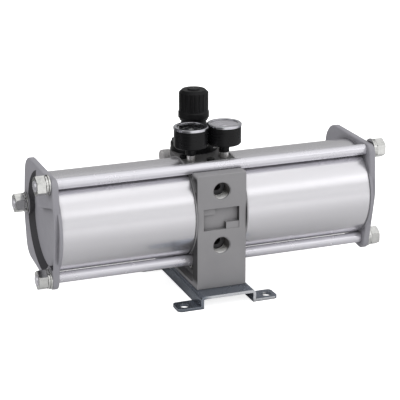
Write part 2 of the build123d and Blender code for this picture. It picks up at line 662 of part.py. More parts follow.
def piston_rod():
    """Rod through the block, stepped down at both ends for the pistons."""
    end = PISTON_OUTER_X - 0.5
    rod = bar_x(PISTON_ROD_R, -PISTON_INNER_X, PISTON_INNER_X) + bar_x(ROD_END_R, -end, end)
    tips = rod.edges().filter_by(GeomType.CIRCLE).group_by(Axis.X)
    return chamfer(tips[0] + tips[-1], 1.0)


def piston_nuts():
    seat = PISTON_OUTER_X - PISTON_NUT_THICK - 2
    return group(
        both_sides(
            lambda side: along_x(
                hex_nut(PISTON_NUT_AF, PISTON_NUT_THICK, ROD_END_R), side * seat, 0, AXIS_Z, side
            )
        )
    )


def rod_seals():
    start = BUSH_LENGTH / 2
    return group(
        both_sides(
            lambda side: ring_x(
                ROD_SEAL_R, PISTON_ROD_R + RUN_GAP, side * start, side * (start + ROD_SEAL_WIDTH)
            )
        )
    )


def coil(radius, wire, height, turns):
    """Coil spring of square wire standing on the origin, both ends touching their seats."""
    rise = height - wire
    path = Helix(pitch=rise / turns, height=rise, radius=radius)
    section = Plane(origin=path @ 0, z_dir=path % 0, x_dir=(0, 0, 1)) * Rectangle(wire, wire)
    spring = sweep(section, path=path, is_frenet=True)
    return Pos(0, 0, wire / 2) * spring


def inlet_poppet(side):
    """Poppet that closes the gallery's mouth and lifts toward the cylinder."""
    seat = SPIGOT_X - CHECK_DEPTH
    head = bar_x(CHECK_POPPET_R, seat, seat + CHECK_POPPET_THICK, CHECK_Y, PORT_Z_LOWER)
    tip = seat + CHECK_POPPET_THICK + CHECK_STEM_LENGTH
    poppet = head + bar_x(CHECK_STEM_R, seat + 1, tip, CHECK_Y, PORT_Z_LOWER)
    return mirror(poppet, about=Plane.YZ) if side < 0 else poppet


def outlet_poppet(side):
    """Poppet that closes the seat ring's hole and lifts toward the gallery."""
    seat = SPIGOT_X - CHECK_RING_THICK
    head = bar_x(CHECK_POPPET_R, seat - CHECK_POPPET_THICK, seat, CHECK_Y, PORT_Z_UPPER)
    tip = seat - CHECK_POPPET_THICK - CHECK_STEM_LENGTH
    poppet = head + bar_x(CHECK_STEM_R, tip, seat - 1, CHECK_Y, PORT_Z_UPPER)
    return mirror(poppet, about=Plane.YZ) if side < 0 else poppet


def check_rings():
    """Threaded rings at the mouths: spring retainers on the inlet, seats on the outlet."""
    start = SPIGOT_X - CHECK_RING_THICK
    return group(
        ring_x(CHECK_BORE_R, CHECK_RING_HOLE_R, side * start, side * SPIGOT_X, CHECK_Y, z)
        for side in SIDES.values()
        for z in (PORT_Z_LOWER, PORT_Z_UPPER)
    )


def check_spring(side, z):
    """Light spring behind one poppet."""
    near = SPIGOT_X - CHECK_DEPTH
    if z == PORT_Z_LOWER:
        near += CHECK_POPPET_THICK
    length = CHECK_DEPTH - CHECK_RING_THICK - CHECK_POPPET_THICK
    return along_x(coil(5.4, 0.9, length, 3), side * near, CHECK_Y, z, side)


def switch_sleeve():
    """Ported sleeve of the changeover valve."""
    half = SWITCH_SLEEVE_LENGTH / 2
    sleeve = ring_x(SWITCH_SLEEVE_R, SWITCH_SLEEVE_BORE_R, -half, half, SWITCH_Y, SWITCH_Z)
    for x in (-12.0, 0.0, 12.0):
        sleeve -= bar_z(2.5, SWITCH_Z - 20, SWITCH_Z + 20, x, SWITCH_Y)
        sleeve -= bar_y(2.5, SWITCH_Y - 20, SWITCH_Y + 20, x, SWITCH_Z)
    return sleeve


def switch_spool():
    """Spool with three lands."""
    half = SPOOL_LENGTH / 2
    land_r = SWITCH_SLEEVE_BORE_R - 0.03
    spool = bar_x(SPOOL_WAIST_R, -half, half, SWITCH_Y, SWITCH_Z)
    for middle in (SPOOL_LAND / 2 - half, 0.0, half - SPOOL_LAND / 2):
        low, high = middle - SPOOL_LAND / 2, middle + SPOOL_LAND / 2
        spool += bar_x(land_r, low, high, SWITCH_Y, SWITCH_Z)
    return spool


def switch_caps():
    """Screwed caps of the changeover valve, each guiding a push pin."""
    start = SWITCH_SLEEVE_LENGTH / 2
    return group(
        both_sides(
            lambda side: ring_x(CAP_R, PIN_R + RUN_GAP, side * start, side * HALF_BLOCK, SWITCH_Y, SWITCH_Z)
        )
    )


def push_pin(side):
    """Pin that a piston strikes at the end of its stroke."""
    seat = SWITCH_SLEEVE_LENGTH / 2
    head = bar_x(PIN_HEAD_R, side * (seat - PIN_HEAD_THICK), side * seat, SWITCH_Y, SWITCH_Z)
    return head + bar_x(PIN_R, side * (seat - 0.5), side * (SPIGOT_X + PIN_PROUD), SWITCH_Y, SWITCH_Z)


def governor_plate():
    """Plate on the block that carries the governor and both gauges."""
    plate = slab((-HALF_BLOCK, HALF_BLOCK), (PLATE_FRONT_Y, GOVERNOR_Y), (BLOCK_TOP_Z, PLATE_TOP_Z))
    plate = fillet(plate.edges().filter_by(Axis.Z), PLATE_CORNER_R)
    plate += bar_z(PLATE_BACK_R, BLOCK_TOP_Z, PLATE_TOP_Z, 0, GOVERNOR_Y)
    plate -= bar_z(GOVERNOR_SEAT_R, BLOCK_TOP_Z - 1, PLATE_TOP_Z + 1, 0, GOVERNOR_Y)
    plate -= bar_z(DIAPHRAGM_CHAMBER_R, PLATE_TOP_Z - 2, PLATE_TOP_Z + 1, 0, GOVERNOR_Y)
    for x in GAUGES.values():
        plate -= bar_z(GAUGE_NIPPLE_R, BLOCK_TOP_Z - 1, PLATE_TOP_Z + 1, x, GAUGE_Y)
    for x, y in (*PLATE_SCREWS, *bonnet_screw_places()):
        plate -= bar_z(SCREW_M5_R, BLOCK_TOP_Z - 1, PLATE_TOP_Z + 1, x, y)
    return plate - silencer_seat() - bar_z(CLIP_WIRE_R, BLOCK_TOP_Z - 1, PLATE_TOP_Z + 1, CLIP_X, CLIP_Y)


def bonnet_screw_places():
    step = 360 / BONNET_SCREW_COUNT
    return [
        (
            BONNET_SCREW_PITCH_R * cos(radians(45 + step * i)),
            GOVERNOR_Y + BONNET_SCREW_PITCH_R * sin(radians(45 + step * i)),
        )
        for i in range(BONNET_SCREW_COUNT)
    ]


def cap_screw(x, y, seat_z, depth):
    """Socket-head screw with its head on the given seat."""
    head = bar_z(SCREW_M5_HEAD_R, seat_z, seat_z + SCREW_M5_HEAD, x, y)
    head = chamfer(head.edges().group_by(Axis.Z)[-1], 0.4)
    screw = head + bar_z(SCREW_M5_R, seat_z - depth, seat_z + 0.5, x, y)
    socket = Pos(x, y, seat_z + SCREW_M5_HEAD - 1.8) * hex_prism(SCREW_M5_HEX_AF, 4)
    return screw - socket


def governor_bonnet():
    """Bonnet: screw flange, tapered body, and the neck that the knob turns on."""
    base = PLATE_TOP_Z
    roof = BONNET_TOP_Z - BONNET_ROOF
    bonnet = spun_z(
        [
            (0, base), (BONNET_FLANGE_R, base), (BONNET_FLANGE_R, BONNET_FLANGE_TOP_Z - 2),
            (BONNET_FLANGE_R - 2, BONNET_FLANGE_TOP_Z), (BONNET_TAPER_R, BONNET_FLANGE_TOP_Z),
            (BONNET_NECK_R, BONNET_NECK_Z), (BONNET_NECK_R, BONNET_TOP_Z), (0, BONNET_TOP_Z),
        ],
        0, GOVERNOR_Y,
    )
    hollow = spun_z(
        [
            (0, base - 1), (DIAPHRAGM_R, base - 1), (DIAPHRAGM_R, base + DIAPHRAGM_THICK),
            (DIAPHRAGM_CHAMBER_R, base + DIAPHRAGM_THICK), (DIAPHRAGM_CHAMBER_R, base + 5),
            (BONNET_BORE_R, base + 9), (BONNET_BORE_R, roof), (0, roof),
        ],
        0, GOVERNOR_Y,
    )
    bonnet -= hollow
    key_r, key_half = SEAT_KEY_R + 0.1, SEAT_KEY_WIDTH / 2 + 0.1
    key_y = (GOVERNOR_Y - key_half, GOVERNOR_Y + key_half)
    bonnet -= slab((-key_r, key_r), key_y, (PLATE_TOP_Z + 5, roof))
    bonnet -= bar_z(SCREW_R + RUN_GAP, roof - 1, BONNET_TOP_Z + 1, 0, GOVERNOR_Y)
    for x, y in bonnet_screw_places():
        bonnet -= bar_z(SCREW_M5_R, base - 1, BONNET_FLANGE_TOP_Z + 1, x, y)
        bonnet -= bar_z(SCREW_M5_HEAD_R + 0.3, BONNET_FLANGE_TOP_Z - 3.2, BONNET_FLANGE_TOP_Z + 6, x, y)
    return bonnet


def diaphragm():
    """Rubber disc clamped at its rim, with a hole for its centre plates."""
    low = PLATE_TOP_Z
    return ring_z(DIAPHRAGM_R, 3.0, low, low + DIAPHRAGM_THICK, 0, GOVERNOR_Y)


def diaphragm_plate():
    """Plate on the diaphragm with its hub and the stem that opens the governor valve."""
    low = PLATE_TOP_Z + DIAPHRAGM_THICK
    plate = bar_z(11.0, low, low + 2.0, 0, GOVERNOR_Y)
    plate += bar_z(3.0, PLATE_TOP_Z - 0.5, low + 3.5, 0, GOVERNOR_Y)
    valve_top = BLOCK_TOP_Z
    return plate + bar_z(GOVERNOR_STEM_R, valve_top, PLATE_TOP_Z, 0, GOVERNOR_Y)


def governor_valve():
    """Valve disc that seats under the plate, with its guide stem."""
    top = BLOCK_TOP_Z
    disc = bar_z(GOVERNOR_DISC_R, top - GOVERNOR_DISC_THICK, top, 0, GOVERNOR_Y)
    return disc + bar_z(GOVERNOR_STEM_R, top - 12, top - 1, 0, GOVERNOR_Y)


def governor_spring():
    bottom = BLOCK_TOP_Z - GOVERNOR_BORE_DEPTH
    length = GOVERNOR_BORE_DEPTH - GOVERNOR_DISC_THICK
    return Pos(0, GOVERNOR_Y, bottom) * coil(5.5, 1.0, length, 4)


def range_spring():
    low = PLATE_TOP_Z + DIAPHRAGM_THICK + 2.0
    spring = coil(RANGE_SPRING_R, RANGE_SPRING_WIRE, SPRING_SEAT_Z - low, RANGE_SPRING_TURNS)
    return Pos(0, GOVERNOR_Y, low) * spring


def spring_seat():
    """Seat that the adjusting screw drives down onto the range spring."""
    seat = bar_z(SPRING_SEAT_R, SPRING_SEAT_Z, SPRING_SEAT_Z + SPRING_SEAT_THICK, 0, GOVERNOR_Y)
    key_y = (GOVERNOR_Y - SEAT_KEY_WIDTH / 2, GOVERNOR_Y + SEAT_KEY_WIDTH / 2)
    seat += slab((-SEAT_KEY_R, SEAT_KEY_R), key_y, (SPRING_SEAT_Z, SPRING_SEAT_Z + SPRING_SEAT_THICK))
    seat += bar_z(SPRING_PILOT_R, SPRING_SEAT_Z - 3, SPRING_SEAT_Z, 0, GOVERNOR_Y)
    seat_top = SPRING_SEAT_Z + SPRING_SEAT_THICK
    return seat - bar_z(SCREW_R + RUN_GAP, SPRING_SEAT_Z - 4, seat_top + 1, 0, GOVERNOR_Y)


def adjusting_screw():
    """Screw turned by the knob: collar under the bonnet's roof, hexagon above it."""
    roof = BONNET_TOP_Z - BONNET_ROOF
    screw = bar_z(SCREW_R, SPRING_SEAT_Z - 2.5, BONNET_TOP_Z + 1, 0, GOVERNOR_Y)
    screw += bar_z(SCREW_COLLAR_R, roof - 2.3, roof - 0.3, 0, GOVERNOR_Y)
    screw += Pos(0, GOVERNOR_Y, BONNET_TOP_Z + 0.3) * hex_prism(KNOB_HEX_AF, KNOB_HEX_LENGTH)
    return screw


def knob():
    """Fluted knob with a bevelled shoulder, a raised cap and a skirt ring."""
    body = spun_z(
        [
            (0, KNOB_BOTTOM_Z), (KNOB_R - 0.8, KNOB_BOTTOM_Z), (KNOB_R - 0.2, KNOB_RING_Z[0] - 1),
            (KNOB_RING_R, KNOB_RING_Z[0]), (KNOB_RING_R, KNOB_RING_Z[1]), (KNOB_R, KNOB_RING_Z[1] + 1.2),
            (KNOB_R, KNOB_TOP_Z - KNOB_SHOULDER), (KNOB_R - KNOB_SHOULDER, KNOB_TOP_Z),
            (KNOB_CAP_R, KNOB_TOP_Z), (KNOB_CAP_R - 0.5, KNOB_TOP_Z + KNOB_CAP_HEIGHT),
            (0, KNOB_TOP_Z + KNOB_CAP_HEIGHT),
        ],
        0, GOVERNOR_Y,
    )
    for i in range(KNOB_FLUTES):
        angle = 2 * pi * i / KNOB_FLUTES
        x, y = (KNOB_R + 0.5) * cos(angle), GOVERNOR_Y + (KNOB_R + 0.5) * sin(angle)
        body -= bar_z(KNOB_FLUTE_R, KNOB_RING_Z[1] + 2.5, KNOB_TOP_Z + 3, x, y)
    roof = BONNET_TOP_Z + 1.0
    body -= bar_z(KNOB_BORE_R, KNOB_BOTTOM_Z - 1, roof, 0, GOVERNOR_Y)
    hexagon = hex_prism(KNOB_HEX_AF + 2 * RUN_GAP, KNOB_HEX_LENGTH + 3)
    return body - Pos(0, GOVERNOR_Y, BONNET_TOP_Z) * hexagon


def gauge_case(x):
    """Cup-shaped gauge case with a bevelled bottom and a short stub."""
    bottom_gap = GAUGE_SHOULDER_Z - GAUGE_BASE_Z
    top = GAUGE_TOP_Z - GAUGE_BEZEL_HEIGHT
    case = spun_z(
        [
            (0, GAUGE_STUB_Z), (GAUGE_STUB_R, GAUGE_STUB_Z), (GAUGE_STUB_R, GAUGE_BASE_Z),
            (GAUGE_BOTTOM_R, GAUGE_BASE_Z), (GAUGE_R, GAUGE_SHOULDER_Z), (GAUGE_R, top), (0, top),
        ],
        x, GAUGE_Y,
    )
    floor = GAUGE_BASE_Z + 3
    hollow = spun_z(
        [
            (0, floor), (GAUGE_BOTTOM_R - 1, floor), (GAUGE_R - GAUGE_WALL, floor + bottom_gap - 1),
            (GAUGE_R - GAUGE_WALL, top + 1), (0, top + 1),
        ],
        x, GAUGE_Y,
    )
    case -= hollow
    return case - bar_z(GAUGE_NIPPLE_R - 1, GAUGE_STUB_Z - 1, floor + 1, x, GAUGE_Y)


def gauge_bezel(x):
    """Bright ring round the top of the case."""
    low = GAUGE_TOP_Z - GAUGE_BEZEL_HEIGHT
    lens_top = GAUGE_TOP_Z - GAUGE_BEZEL_LIP
    lens_bottom = lens_top - GAUGE_LENS_THICK
    return spun_z(
        [
            (GAUGE_BEZEL_INNER_R, lens_top), (GAUGE_BEZEL_INNER_R, GAUGE_TOP_Z - 0.2),
            (GAUGE_BEZEL_INNER_R + 0.3, GAUGE_TOP_Z), (GAUGE_BEZEL_R - 0.7, GAUGE_TOP_Z),
            (GAUGE_BEZEL_R, GAUGE_TOP_Z - 0.7), (GAUGE_BEZEL_R, low), (GAUGE_R - GAUGE_WALL, low),
            (GAUGE_R - GAUGE_WALL, lens_bottom), (GAUGE_R - 0.6, lens_bottom), (GAUGE_R - 0.6, lens_top),
        ],
        x, GAUGE_Y,
    )


def gauge_lens(x):
    top = GAUGE_TOP_Z - GAUGE_BEZEL_LIP
    return bar_z(GAUGE_R - 0.6, top - GAUGE_LENS_THICK, top, x, GAUGE_Y)


def gauge_dial(x):
    """Dial plate on a short pillar, drilled for the pointer's spindle."""
    dial = bar_z(GAUGE_R - GAUGE_WALL, GAUGE_DIAL_Z, GAUGE_DIAL_Z + GAUGE_DIAL_THICK, x, GAUGE_Y)
    return dial - bar_z(GAUGE_SPINDLE_R + RUN_GAP, GAUGE_DIAL_Z - 1, GAUGE_DIAL_Z + 2, x, GAUGE_Y)


def gauge_pointer(x):
    """Pointer with a hub and a spindle that reaches down to the movement."""
    low = GAUGE_DIAL_Z + GAUGE_DIAL_THICK + 0.3
    length, tail, width = GAUGE_POINTER_LENGTH, GAUGE_POINTER_TAIL, GAUGE_POINTER_WIDTH
    blade = Polyline((-tail, -width), (-tail, width), (length, 0.25), (length, -0.25), close=True)
    blade = extrude(make_face(blade), 0.4)
    blade = Pos(x, GAUGE_Y, low) * Rot(0, 0, GAUGE_POINTER_START) * blade
    hub = bar_z(GAUGE_HUB_R, low, low + 0.9, x, GAUGE_Y)
    return blade + hub + bar_z(GAUGE_SPINDLE_R, BOURDON_Z + 4.3, low + 0.5, x, GAUGE_Y)


def gauge_movement(x):
    """Socket post and the C-shaped pressure tube that drives the pointer."""
    width, height = BOURDON_SECTION
    socket_top = BOURDON_Z + 4
    post = slab((x - 3, x + 3), (GAUGE_Y - 3, GAUGE_Y + 3), (GAUGE_BASE_Z + 3, socket_top))
    arc = CenterArc((x, GAUGE_Y), BOURDON_R, 270, BOURDON_SWEEP)
    outer = CenterArc((x, GAUGE_Y), BOURDON_R + width / 2, 270, BOURDON_SWEEP)
    inner = CenterArc((x, GAUGE_Y), BOURDON_R - width / 2, 270, BOURDON_SWEEP)
    outline = outer + inner + Line(outer @ 0, inner @ 0) + Line(outer @ 1, inner @ 1)
    tube = Pos(0, 0, BOURDON_Z - height / 2) * extrude(make_face(outline), height)
    start = arc @ 0
    arm = slab(
        (start.X - 2, start.X + 2), (start.Y - 1, GAUGE_Y), (BOURDON_Z - height / 2, BOURDON_Z + height / 2)
    )
    return post + tube + arm


def gauge_nipple(x):
    """Plated nipple between the case and the block."""
    nipple = bar_z(GAUGE_NIPPLE_R, PLATE_TOP_Z - GAUGE_NIPPLE_DEPTH, GAUGE_STUB_Z, x, GAUGE_Y)
    nipple += bar_z(GAUGE_NIPPLE_R - 1, GAUGE_STUB_Z - 1, GAUGE_BASE_Z + 3, x, GAUGE_Y)
    return nipple - bar_z(1.2, PLATE_TOP_Z - GAUGE_NIPPLE_DEPTH - 1, GAUGE_BASE_Z + 4, x, GAUGE_Y)


def gauge_clip():
    """Bent wire clip between the governor and the right gauge."""
    top = PLATE_TOP_Z + CLIP_RISE
    path = FilletPolyline(
        (CLIP_X, CLIP_Y, BLOCK_TOP_Z), (CLIP_X, CLIP_Y, top - 1), (CLIP_X - 7, CLIP_Y + 0.5, top),
        radius=3.0,
    )
    section = Plane(origin=path @ 0, z_dir=path % 0) * Circle(CLIP_WIRE_R)
    return sweep(section, path=path)


def silencer():
    """Porous exhaust silencer on the left of the governor's boss."""
    outer, inner = SILENCER_X
    body = bar_x(SILENCER_R, outer, inner, SILENCER_Y, SILENCER_Z)
    body = fillet(body.edges().group_by(Axis.X)[0], 2.0)
    body += bar_x(SILENCER_THREAD_R, inner - 1, SILENCER_THREAD_END, SILENCER_Y, SILENCER_Z)
    return body - bar_x(SILENCER_BORE_R, outer + 2, SILENCER_THREAD_END + 1, SILENCER_Y, SILENCER_Z)


parts["center_block"] = center_block()
parts["foot_bracket"] = foot_bracket()
parts["foot_screws"] = foot_screws()
parts["tie_rods"] = tie_rods()
parts["tie_rod_washers"] = stack_at_rods(plain_washer, COVER_OUTER_X)
parts["tie_rod_spring_washers"] = stack_at_rods(spring_washer, COVER_OUTER_X + WASHER_THICK)
parts["tie_rod_nuts"] = stack_at_rods(
    lambda: hex_nut(NUT_AF, NUT_THICK, TIE_R), COVER_OUTER_X + WASHER_THICK + SPRING_WASHER_THICK
)
parts["tube_seals"] = tube_seals()
parts["transfer_tubes"] = transfer_tubes()
parts["piston_rod"] = piston_rod()
parts["piston_nuts"] = piston_nuts()
parts["piston_seals"] = piston_seals()
parts["drilling_plug"] = drilling_plug()
parts["rod_bush"] = ring_x(BUSH_R, PISTON_ROD_R + RUN_GAP, -BUSH_LENGTH / 2, BUSH_LENGTH / 2)
parts["rod_seals"] = rod_seals()
parts["check_rings"] = check_rings()
parts["switch_sleeve"] = switch_sleeve()
parts["switch_spool"] = switch_spool()
parts["switch_caps"] = switch_caps()
parts["governor_plate"] = governor_plate()
parts["governor_plate_screws"] = group(
    cap_screw(x, y, PLATE_TOP_Z, PLATE_SCREW_LENGTH) for x, y in PLATE_SCREWS
)
parts["governor_bonnet"] = governor_bonnet()
parts["bonnet_screws"] = group(
    cap_screw(x, y, BONNET_FLANGE_TOP_Z - 3.2, BONNET_SCREW_LENGTH) for x, y in bonnet_screw_places()
)
parts["diaphragm"] = diaphragm()
parts["diaphragm_plate"] = diaphragm_plate()
parts["governor_valve"] = governor_valve()
parts["governor_valve_spring"] = governor_spring()
parts["range_spring"] = range_spring()
parts["spring_seat"] = spring_seat()
parts["adjusting_screw"] = adjusting_screw()
parts["knob"] = knob()
parts["gauge_clip"] = gauge_clip()
parts["exhaust_silencer"] = silencer()
for name, side in SIDES.items():
    parts[f"cylinder_tube_{name}"] = cylinder_tube(side)
    parts[f"end_cover_{name}"] = end_cover(side)
    parts[f"piston_{name}"] = piston(side)
    parts[f"push_pin_{name}"] = push_pin(side)
    parts[f"inlet_poppet_{name}"] = inlet_poppet(side)
    parts[f"outlet_poppet_{name}"] = outlet_poppet(side)
    parts[f"inlet_spring_{name}"] = check_spring(side, PORT_Z_LOWER)
    parts[f"outlet_spring_{name}"] = check_spring(side, PORT_Z_UPPER)
for name, x in GAUGES.items():
    parts[f"gauge_case_{name}"] = gauge_case(x)
    parts[f"gauge_bezel_{name}"] = gauge_bezel(x)
    parts[f"gauge_lens_{name}"] = gauge_lens(x)
    parts[f"gauge_pointer_{name}"] = gauge_pointer(x)
parts["gauge_dials"] = group(gauge_dial(x) for x in GAUGES.values())
parts["gauge_movements"] = group(gauge_movement(x) for x in GAUGES.values())
parts["gauge_nipples"] = group(gauge_nipple(x) for x in GAUGES.values())

os.makedirs("parts", exist_ok=True)
for name, shape in parts.items():
    export_step(shape, f"parts/{name}.step")
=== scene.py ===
"""Looks of the twin-cylinder air pressure booster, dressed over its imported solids.

Lengths are in metres in the object's own frame: X along the tubes, Y away from the ports, Z up.
"""

import bpy
import json
from math import cos, pi, radians, sin
from mathutils import Matrix, Vector


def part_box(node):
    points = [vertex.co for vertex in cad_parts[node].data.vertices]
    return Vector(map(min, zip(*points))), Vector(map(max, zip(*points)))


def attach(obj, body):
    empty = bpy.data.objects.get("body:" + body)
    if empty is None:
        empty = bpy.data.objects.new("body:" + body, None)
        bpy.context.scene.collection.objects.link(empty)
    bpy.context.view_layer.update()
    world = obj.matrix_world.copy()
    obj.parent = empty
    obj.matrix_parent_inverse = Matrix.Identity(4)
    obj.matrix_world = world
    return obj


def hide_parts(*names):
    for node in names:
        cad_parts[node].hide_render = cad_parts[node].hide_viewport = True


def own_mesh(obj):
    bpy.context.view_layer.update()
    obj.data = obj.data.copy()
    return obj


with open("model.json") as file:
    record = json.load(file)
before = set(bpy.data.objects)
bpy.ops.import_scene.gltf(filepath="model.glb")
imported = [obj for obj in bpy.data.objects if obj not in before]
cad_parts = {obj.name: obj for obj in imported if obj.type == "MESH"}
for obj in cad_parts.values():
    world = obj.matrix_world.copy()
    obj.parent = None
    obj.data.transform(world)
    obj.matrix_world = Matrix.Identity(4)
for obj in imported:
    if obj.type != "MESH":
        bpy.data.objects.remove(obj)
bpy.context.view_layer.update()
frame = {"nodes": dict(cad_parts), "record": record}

MM = 0.001

# Camera that matches the photographed view
CAMERA_PLACE = (-0.5738, -1.4910, 0.6334)
CAMERA_AZIMUTH = 20.88
CAMERA_ELEVATION = 18.55
CAMERA_LENS = 136.8
CAMERA_SENSOR = 36.0

# Sizes and places from the frame; the pocket of a cover is wider than its tube, and the face with the
# ports lies a little behind the front of the tubes
POCKET_PAST_TUBE = 2.5 * MM
FACE_BEHIND_TUBE = 0.5 * MM
TUBE_LOW, TUBE_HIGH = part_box("cylinder_tube_left")
TUBE_AXIS_Z = (TUBE_LOW.z + TUBE_HIGH.z) / 2
COVER_POCKET_R = TUBE_HIGH.y + POCKET_PAST_TUBE
PORT_FACE_Y = TUBE_LOW.y + FACE_BEHIND_TUBE
MOUNTS = {row["name"]: row for row in frame["record"]["mounts"]}
DIAL_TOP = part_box("gauge_dials")[1].z

# Where painted shade and the painted highlight start, and where they are complete
SIDE_SHADE_BELOW_Z = (18.0 * MM, 24.0 * MM)
SIDE_SHADE_ABOVE_Z = (136.0 * MM, 142.0 * MM)
TUBE_SHADE_Z = (TUBE_AXIS_Z, TUBE_AXIS_Z + 20.0 * MM)
HIGHLIGHT_EDGE_X = (-28.0 * MM, -20.0 * MM)

# Thread cut in each port; it starts the lead-in behind the port's face
THREAD_PITCH = 1.8 * MM
THREAD_DEPTH = 0.9 * MM
THREAD_LEAST = 0.01 * MM
THREAD_HALF_FOOT = 0.42 * THREAD_PITCH
THREAD_LEAD_IN = 2.2 * MM
THREAD_TURNS = 7.5
THREAD_STEPS = 40

# Marks of the dials: angles in degrees, and each kind of mark as (inner radius, width)
DIAL_START = 225.0
DIAL_SWEEP = 270.0
SCALE_STEPS = 50
SCALE_OUTER_R = 13.2 * MM
MARKS_PER_MAJOR = 5
MAJOR_MARK = (11.0 * MM, 0.45 * MM)
MINOR_MARK = (12.0 * MM, 0.2 * MM)
MARK_THICK = 0.08 * MM
LAST_NUMBER = 10
NUMBER_STEP = 2
NUMBER_R = 8.9 * MM
NUMBER_SIZE = 3.1 * MM

# Round-wire springs: points in a turn, sides of the wire, and a row for each spring as
# (solid, joint, axis, corner of its box that stays, wire, turns)
COIL_STEPS = 28
COIL_SIDES = 10
SPRINGS = (
    ("inlet_spring_left", "inlet_lift_left", 0, 0, 0.9 * MM, 3),
    ("inlet_spring_right", "inlet_lift_right", 0, 1, 0.9 * MM, 3),
    ("outlet_spring_left", "outlet_lift_left", 0, 1, 0.9 * MM, 3),
    ("outlet_spring_right", "outlet_lift_right", 0, 0, 0.9 * MM, 3),
    ("governor_valve_spring", "governor_lift", 2, 0, 1.0 * MM, 4),
    ("range_spring", "seat_travel", 2, 0, 2.0 * MM, 5),
)

# Lamps as (name, place, size, power in watts), all aimed at one point
LAMP_AIM = (0.0, 0.0, 0.1)
LAMPS = (
    ("front_top", (0.2, -1.3, 1.5), (3.2, 1.8), 8.0),
    ("front_band", (0.95, -1.5, 1.15), (1.3, 0.35), 0.6),
    ("overhead", (0.1, 0.1, 1.8), (2.0, 2.0), 4.0),
    ("right_fill", (1.6, -0.8, 0.7), (1.3, 1.3), 3.0),
    ("left_fill", (-1.8, -0.3, 0.8), (1.4, 1.4), 5.0),
)

# Strength of the world's light, and what metal mirrors of the room on each side
WORLD_LIGHT = 0.75
ROOM_FRONT = 0.92
ROOM_ABOVE = 0.6
ROOM_BEHIND = 0.42
ROOM_LEFT_SHARE = 0.2

# Floor: half its width, its colour in the light, and how bright the camera sees it
FLOOR_REACH = 30.0
FLOOR_COLOUR = 0.75
FLOOR_SEEN = 0.8


# Node helpers


def new_group(name, inputs, outputs):
    """Shader node group with named sockets; gives the tree and its input and output nodes."""
    tree = bpy.data.node_groups.new(name, "ShaderNodeTree")
    for label, kind, value in inputs:
        socket = tree.interface.new_socket(label, in_out="INPUT", socket_type=kind)
        socket.default_value = value
    for label, kind in outputs:
        tree.interface.new_socket(label, in_out="OUTPUT", socket_type=kind)
    return tree, tree.nodes.new("NodeGroupInput"), tree.nodes.new("NodeGroupOutput")


def wire(tree, source, target):
    """Links a socket, or sets a plain value, on a target socket."""
    if isinstance(source, bpy.types.NodeSocket):
        tree.links.new(source, target)
    else:
        target.default_value = source


def maths(tree, operation, a, b=0.0, clamp=False):
    node = tree.nodes.new("ShaderNodeMath")
    node.operation = operation
    node.use_clamp = clamp
    wire(tree, a, node.inputs[0])
    wire(tree, b, node.inputs[1])
    return node.outputs[0]


def vector_maths(tree, operation, a, b):
    node = tree.nodes.new("ShaderNodeVectorMath")
    node.operation = operation
    wire(tree, a, node.inputs[0])
    wire(tree, b, node.inputs[1])
    return node.outputs["Value"] if operation == "DOT_PRODUCT" else node.outputs["Vector"]


def remap(tree, value, low, high, to_low=0.0, to_high=1.0):
    node = tree.nodes.new("ShaderNodeMapRange")
    wire(tree, value, node.inputs["Value"])
    wire(tree, low, node.inputs["From Min"])
    wire(tree, high, node.inputs["From Max"])
    wire(tree, to_low, node.inputs["To Min"])
    wire(tree, to_high, node.inputs["To Max"])
    return node.outputs["Result"]


def blend_colour(tree, mask, a, b):
    node = tree.nodes.new("ShaderNodeMix")
    node.data_type = "RGBA"
    wire(tree, mask, node.inputs["Factor"])
    for value, label in ((a, "A"), (b, "B")):
        socket = next(s for s in node.inputs if s.name == label and s.type == "RGBA")
        wire(tree, opaque(value), socket)
    return next(s for s in node.outputs if s.type == "RGBA")


def opaque(value):
    """A colour with its alpha, or the socket as it is."""
    if isinstance(value, bpy.types.NodeSocket) or len(value) == 4:
        return value
    return (*value, 1.0)


def noise(tree, place, scale, detail=3.0, roughness=0.5):
    node = tree.nodes.new("ShaderNodeTexNoise")
    wire(tree, place, node.inputs["Vector"])
    wire(tree, scale, node.inputs["Scale"])
    node.inputs["Detail"].default_value = detail
    node.inputs["Roughness"].default_value = roughness
    return node.outputs["Fac"]


def object_place(tree):
    return tree.nodes.new("ShaderNodeTexCoord").outputs["Object"]


def split(tree, vector):
    """The X, Y and Z sockets of a vector."""
    node = tree.nodes.new("ShaderNodeSeparateXYZ")
    wire(tree, vector, node.inputs[0])
    return node.outputs


def surface_normal(tree):
    return tree.nodes.new("ShaderNodeNewGeometry").outputs["Normal"]


# Effects that several finishes share


def make_edge_wear():
    """Mask along outer edges, broken up by noise, and the softened normal of those edges; it marks worn
    edges, and on zinc it places painted dark reflections.
    """
    tree, enter, leave = new_group(
        "Edge wear and shade",
        [("Radius", "NodeSocketFloat", 0.0006), ("Amount", "NodeSocketFloat", 1.0)],
        [("Wear and shade", "NodeSocketFloat"), ("Normal", "NodeSocketVector")],
    )
    bevel = tree.nodes.new("ShaderNodeBevel")
    bevel.samples = 6
    wire(tree, enter.outputs["Radius"], bevel.inputs["Radius"])
    level = vector_maths(tree, "DOT_PRODUCT", bevel.outputs["Normal"], surface_normal(tree))
    bend = maths(tree, "SUBTRACT", 1.0, level)
    ragged = noise(tree, object_place(tree), 320.0, 4.0, 0.65)
    mask = maths(tree, "MULTIPLY", remap(tree, bend, 0.015, 0.16), remap(tree, ragged, 0.38, 0.62))
    wire(tree, maths(tree, "MULTIPLY", mask, enter.outputs["Amount"], True), leave.inputs["Wear and shade"])
    wire(tree, bevel.outputs["Normal"], leave.inputs["Normal"])
    return tree


